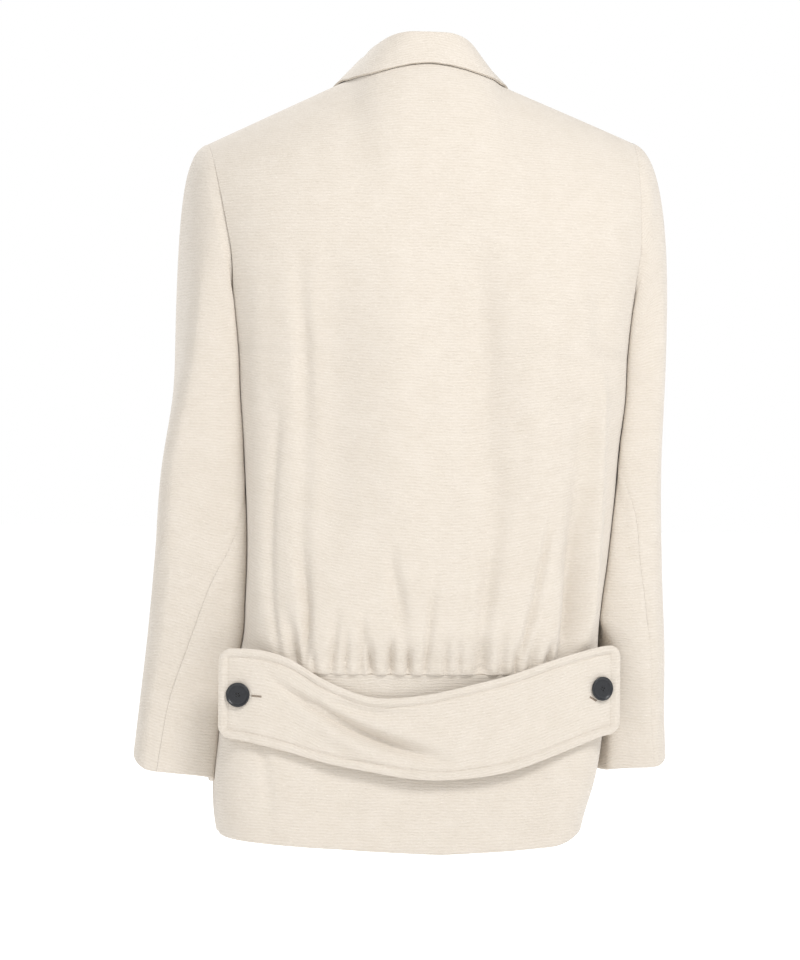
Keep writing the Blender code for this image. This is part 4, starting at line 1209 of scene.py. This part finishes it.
def make_button(name, place, facing, turn):
    """A dished four-hole button, turned from its profile and drilled."""
    radii = np.arange(0.0, DISH_RADIUS, RING_PITCH)
    rings = [(r, DISH_HEIGHT + RING_HEIGHT * (-1) ** i) for i, r in enumerate(radii)]
    matrix = Matrix.Translation(place) @ upright(facing) @ Matrix.Rotation(turn, 4, "Z")
    bm = bmesh.new()
    verts = [bm.verts.new((radius, 0, height)) for radius, height in (*rings, *BUTTON_RIM)]
    edges = [bm.edges.new(pair) for pair in zip(verts, verts[1:])]
    bmesh.ops.spin(bm, geom=verts + edges, axis=(0, 0, 1), cent=(0, 0, 0), steps=48,
                   angle=2 * math.pi, use_merge=True)
    bmesh.ops.remove_doubles(bm, verts=bm.verts, dist=1e-5)
    bmesh.ops.recalc_face_normals(bm, faces=bm.faces)
    bmesh.ops.transform(bm, matrix=matrix, verts=bm.verts)
    button = finish(name, bm, "button")
    drill(button, matrix)
    return button


def drill(button, matrix):
    """Cut the four thread holes through a button."""
    bm = bmesh.new()
    for across in (-HOLE_SPREAD, HOLE_SPREAD):
        for up in (-HOLE_SPREAD, HOLE_SPREAD):
            bmesh.ops.create_cone(bm, cap_ends=True, segments=14, radius1=HOLE_RADIUS,
                                  radius2=HOLE_RADIUS, depth=0.008,
                                  matrix=Matrix.Translation((across, up, 0.001)))
    bmesh.ops.transform(bm, matrix=matrix, verts=bm.verts)
    drills = placed("drill", mesh_from("drill", bm))
    holes = button.modifiers.new("holes", "BOOLEAN")
    holes.object = drills
    cut = button.evaluated_get(bpy.context.evaluated_depsgraph_get())
    button.data = bpy.data.meshes.new_from_object(cut)
    button.modifiers.remove(holes)
    bpy.data.objects.remove(drills)


# Buttonholes of the belt: middle, half length, and which way they point in degrees.
BUTTONHOLES = {"left": (0.1720, -0.5912, 0.0048, 4), "right": (-0.1690, -0.5925, 0.0040, 32)}
BUTTONHOLE_WIDTH = 0.0009
BAR_PITCH = 0.0006
TWIST_RADIUS = 0.00034


def make_buttonhole(name, place, belt):
    """Short bars of twist thread all round a slit in the belt."""
    x, z, half, slope = place
    turned = np.array([math.cos(math.radians(slope)), 0.0, math.sin(math.radians(slope))])
    across = np.array([-turned[2], 0.0, turned[0]])
    middle = np.array([x, 0.2, z])
    bm = bmesh.new()
    for along in np.arange(-half, half + 1e-6, BAR_PITCH):
        for row in (-1, 1):
            ends = []
            for out in (0.15, 1.0):
                above = middle + turned * along + across * row * out * BUTTONHOLE_WIDTH
                hit = belt.ray_cast(Vector(above), Vector((0, -1, 0)))[0]
                ends.append(hit + Vector((0, 0.0002 * (1.6 - out), 0)))
            stitch(bm, *ends, TWIST_RADIUS)
    # The twist's darker colour also paints the shade of the slit between its rows.
    return finish(name, bm, "twist")


# ================================================================ materials
def linear(hexadecimal):
    """sRGB hex colour to linear RGBA."""
    parts = [int(hexadecimal[i:i + 2], 16) / 255 for i in (0, 2, 4)]
    return tuple(c / 12.92 if c <= 0.04045 else ((c + 0.055) / 1.055) ** 2.4
                 for c in parts) + (1.0,)


def add(tree, kind, inputs=None, **settings):
    """Add a node with its settings; inputs are values or the sockets that feed it."""
    node = tree.nodes.new(kind)
    for name, value in settings.items():
        setattr(node, name, value)
    for name, value in (inputs or {}).items():
        if isinstance(value, bpy.types.NodeSocket):
            tree.links.new(value, node.inputs[name])
        else:
            node.inputs[name].default_value = value
    return node


def new_material(name, inputs):
    """A material with these inputs of its shader, and the shader."""
    made = bpy.data.materials.new(name)
    made.use_nodes = True
    shader = made.node_tree.nodes["Principled BSDF"]
    for socket, value in inputs.items():
        shader.inputs[socket].default_value = value
    return made, shader


RIB_PITCH = 3.1          # mm from rib to rib
RIB_DRIFT = 5.0          # mm that a rib wanders along its way
# Ends of the wool's colour mix: the fleece's own mottle runs between them, and so do painted
# highlight on the tops of ribs and fibres and painted shade in their hollows.
WOOL_PALE_AND_LIT = "dbd3c9"
WOOL_DARK_AND_SHADED = "c6bcae"
# Painted highlight colour for the nap's highest fibres.
WOOL_FIBRE_HIGHLIGHT = "ece7dd"


def ribbed_wool():
    """Brushed wool woven with a thick weft: low matte ribs under a short soft nap."""
    made, shader = new_material("ribbed_wool", {
        "Roughness": 0.95, "Specular IOR Level": 0.25,
        "Sheen Weight": 0.25, "Sheen Roughness": 0.55})
    tree = made.node_tree
    uv = add(tree, "ShaderNodeUVMap", uv_map="cloth").outputs["UV"]
    place = add(tree, "ShaderNodeVectorMath", {0: uv, "Scale": 1000.0}, operation="SCALE"
                ).outputs["Vector"]
    # Ribs: a wave up the cloth, which wanders and breaks into dashes about 10 mm long.
    along = add(tree, "ShaderNodeSeparateXYZ", {"Vector": place}).outputs["Y"]
    drift = add(tree, "ShaderNodeTexNoise", {"Vector": place, "Scale": 0.045, "Detail": 3.0}
                ).outputs["Fac"]
    line = add(tree, "ShaderNodeMath", {0: drift, 1: RIB_DRIFT, 2: along},
               operation="MULTIPLY_ADD").outputs["Value"]
    turn = add(tree, "ShaderNodeMath", {0: line, 1: 2 * math.pi / RIB_PITCH},
               operation="MULTIPLY").outputs["Value"]
    wave = add(tree, "ShaderNodeMath", {0: turn}, operation="SINE").outputs["Value"]
    dashed = add(tree, "ShaderNodeVectorMath", {0: place, 1: (0.10, 0.62, 0.0)},
                 operation="MULTIPLY").outputs["Vector"]
    dash = add(tree, "ShaderNodeTexNoise", {"Vector": dashed, "Scale": 1.0, "Detail": 2.0}
               ).outputs["Fac"]
    strength = add(tree, "ShaderNodeMapRange", {"Value": dash, "From Min": 0.36, "From Max": 0.66,
                                                "To Min": 0.0, "To Max": 0.62}).outputs["Result"]
    rib = add(tree, "ShaderNodeMath", {0: wave, 1: strength}, operation="MULTIPLY"
              ).outputs["Value"]
    # Nap: fibres brushed mostly along the ribs, 1 to 3 mm.
    brushed = add(tree, "ShaderNodeVectorMath", {0: place, 1: (0.34, 0.85, 0.0)},
                  operation="MULTIPLY").outputs["Vector"]
    fibre = add(tree, "ShaderNodeTexNoise", {"Vector": brushed, "Scale": 1.0, "Detail": 4.0,
                                             "Roughness": 0.66}).outputs["Fac"]
    height = add(tree, "ShaderNodeMath", {0: fibre, 1: 2.2, 2: rib}, operation="MULTIPLY_ADD"
                 ).outputs["Value"]
    # Colour: paler on ribs and fibres and darker between them, which is painted highlight and
    # painted shade of the cloth's relief, over clouds of 5 to 40 mm that are the fleece's own
    # mottle.
    cloud = add(tree, "ShaderNodeTexNoise", {"Vector": place, "Scale": 0.035, "Detail": 4.0,
                                             "Roughness": 0.62}).outputs["Fac"]
    base = add(tree, "ShaderNodeMapRange", {"Value": cloud, "From Min": 0.30, "From Max": 0.70,
                                            "To Min": -0.10, "To Max": 0.10}).outputs["Result"]
    relief_shade_and_mottle = add(tree, "ShaderNodeMath", {0: height, 1: 0.42, 2: base}, operation="MULTIPLY_ADD",
               use_clamp=True).outputs["Value"]
    colour = add(tree, "ShaderNodeMix", {"Factor": relief_shade_and_mottle, "A": linear(WOOL_DARK_AND_SHADED),
                                         "B": linear(WOOL_PALE_AND_LIT)}, data_type="RGBA")
    # Painted highlight: where the nap's fibres stand highest they turn paler still, as if lit.
    fibre_highlight = add(tree, "ShaderNodeMapRange", {"Value": fibre, "From Min": 0.62, "From Max": 0.78,
                                             "To Min": 0.0, "To Max": 1.0}).outputs["Result"]
    highlighted_colour = add(tree, "ShaderNodeMix", {"Factor": fibre_highlight, "A": colour.outputs["Result"],
                                          "B": linear(WOOL_FIBRE_HIGHLIGHT)}, data_type="RGBA")
    bump = add(tree, "ShaderNodeBump", {"Height": height, "Strength": 0.5, "Distance": 0.0005})
    tree.links.new(highlighted_colour.outputs["Result"], shader.inputs["Base Color"])
    tree.links.new(bump.outputs["Normal"], shader.inputs["Normal"])
    return made


def twist_thread_with_slit_shade():
    """Buttonhole twist: a smooth brownish thread that edges the slits; its colour is made darker
    to paint the shade in the slit between its rows.
    """
    return new_material("buttonhole_twist_with_slit_shade", {"Base Color": linear("84705e"),
                                             "Roughness": 0.7})[0]


def satin_polyester():
    """Polyester, turned and satin polished: near-black navy with a soft broad shine."""
    made, shader = new_material("satin_polyester", {"Roughness": 0.34})
    tree = made.node_tree
    place = add(tree, "ShaderNodeTexCoord").outputs["Object"]
    mottle = add(tree, "ShaderNodeTexNoise", {"Vector": place, "Scale": 260.0, "Detail": 3.0})
    colour = add(tree, "ShaderNodeMix", {"Factor": mottle.outputs["Fac"], "A": linear("17181b"),
                                         "B": linear("26282c")}, data_type="RGBA")
    bump = add(tree, "ShaderNodeBump", {"Height": mottle.outputs["Fac"], "Strength": 0.12,
                                        "Distance": 0.0002})
    tree.links.new(colour.outputs["Result"], shader.inputs["Base Color"])
    tree.links.new(bump.outputs["Normal"], shader.inputs["Normal"])
    return made


# ================================================================ stage
LIGHTS = (               # name, place, size and watts
    ("key", (-1.1, 2.5, 2.2), 1.1, 80.0),
    ("fill", (1.8, 2.3, 1.5), 1.8, 11.5),
    ("front", (1.2, -2.6, 1.6), 1.6, 50.0),
)
LIGHTS_AIM = (0, 0, -0.37)
ROOM_LIGHT = 0.63        # strength of the white room, which itself shows as pure white
FLOOR_Z = -0.95


def make_stage():
    bm = bmesh.new()
    bmesh.ops.create_grid(bm, x_segments=1, y_segments=1, size=30.0)
    floor = placed("floor", mesh_from("floor", bm))
    floor.location = (0, 0, FLOOR_Z)
    pale = new_material("pale_floor", {
        "Base Color": linear("dcdcdc"), "Roughness": 0.9,
        "Emission Color": (1, 1, 1, 1), "Emission Strength": 0.6})[0]
    floor.data.materials.append(pale)
    world = bpy.data.worlds.new("studio")
    world.use_nodes = True
    seen = add(world.node_tree, "ShaderNodeLightPath").outputs["Is Camera Ray"]
    lit = add(world.node_tree, "ShaderNodeMapRange", {"Value": seen, "To Min": ROOM_LIGHT,
                                                      "To Max": 1.0})
    sky = world.node_tree.nodes["Background"]
    sky.inputs["Color"].default_value = (1, 1, 1, 1)
    world.node_tree.links.new(lit.outputs["Result"], sky.inputs["Strength"])
    bpy.context.scene.world = world
    for name, place, size, power in LIGHTS:
        light = bpy.data.lights.new(name, "AREA")
        light.size = size
        light.energy = power
        lamp = placed(name, light)
        lamp.location = place
        aim = Vector(LIGHTS_AIM) - Vector(place)
        lamp.rotation_euler = aim.to_track_quat("-Z", "Y").to_euler()
    bpy.context.scene.view_settings.view_transform = "Standard"


CAMERA_TARGET = (0.017, 0, -0.374)
CAMERA_AZIMUTH = 173     # degrees round the jacket, from the front
CAMERA_ROLL = 0.8
CAMERA_DISTANCE = 3.0


def make_camera():
    """At the photograph's viewing angle: level, behind, a little to the wearer's left."""
    camera = bpy.data.cameras.new("camera")
    camera.sensor_fit = "VERTICAL"
    camera.sensor_height = 24.0
    camera.lens = 72.0
    seen_from = placed("camera", camera)
    azimuth = math.radians(CAMERA_AZIMUTH)
    away = Vector((math.sin(azimuth), -math.cos(azimuth), 0))
    turn = (-away).to_track_quat("-Z", "Y").to_matrix().to_4x4()
    roll = Matrix.Rotation(math.radians(CAMERA_ROLL), 4, "Z")
    place = Vector(CAMERA_TARGET) + away * CAMERA_DISTANCE
    seen_from.matrix_world = Matrix.Translation(place) @ turn @ roll
    bpy.context.scene.camera = seen_from


def main():
    back = make_back()
    band = make_back_band()
    left, right = make_front("cloth_front_left", LEFT), make_front("cloth_front_right", RIGHT)
    collar = make_collar(search_tree(back, left, right))
    belt, belt_surface = make_half_belt()
    pieces = {"back": back, "back_band": band, "front_left": left, "front_right": right,
              "lapel_left": make_lapel("cloth_lapel_left", LEFT),
              "lapel_right": make_lapel("cloth_lapel_right", RIGHT),
              "collar": collar, "half_belt": belt}
    for word, side in (("left", LEFT), ("right", RIGHT)):
        for part, under in (("top", False), ("under", True)):
            node = f"sleeve_{word}_{part}"
            pieces[node] = make_sleeve_panel(f"cloth_{node}", side, under)
    sewn = search_tree(belt)
    threads = [make_belt_stitches(belt_surface)]
    threads += [make_buttonhole(f"buttonhole_{word}", place, sewn)
                for word, place in BUTTONHOLES.items()]
    for node, piece in pieces.items():
        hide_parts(node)
    for node, (x, z, turn) in BELT_BUTTONS.items():
        facing = belt_facing(x, z)
        place = belt_point(x, belt_share(x, z)) + facing * (BELT_WALL / 2 + BUTTON_GAP)
        button = make_button(f"turned_{node}", place, facing, math.radians(turn))
        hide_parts(node)
    cover = search_tree(right)
    for node, (z, turn) in FRONT_BUTTONS.items():
        hit, normal = cover.ray_cast(Vector((0, -1, z)), Vector((0, 1, 0)))[:2]
        facing = normal if normal.y < 0 else -normal
        button = make_button(f"turned_{node}", hit + facing * BUTTON_GAP, facing,
                             math.radians(turn))
        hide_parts(node)


# The twist's colour partly paints the slits' shade, and the wool's colour paints shade and
# highlight on its ribs and nap.
MATERIALS = {"wool": ribbed_wool(), "button": satin_polyester(), "twist": twist_thread_with_slit_shade()}
make_camera()
make_stage()
main()
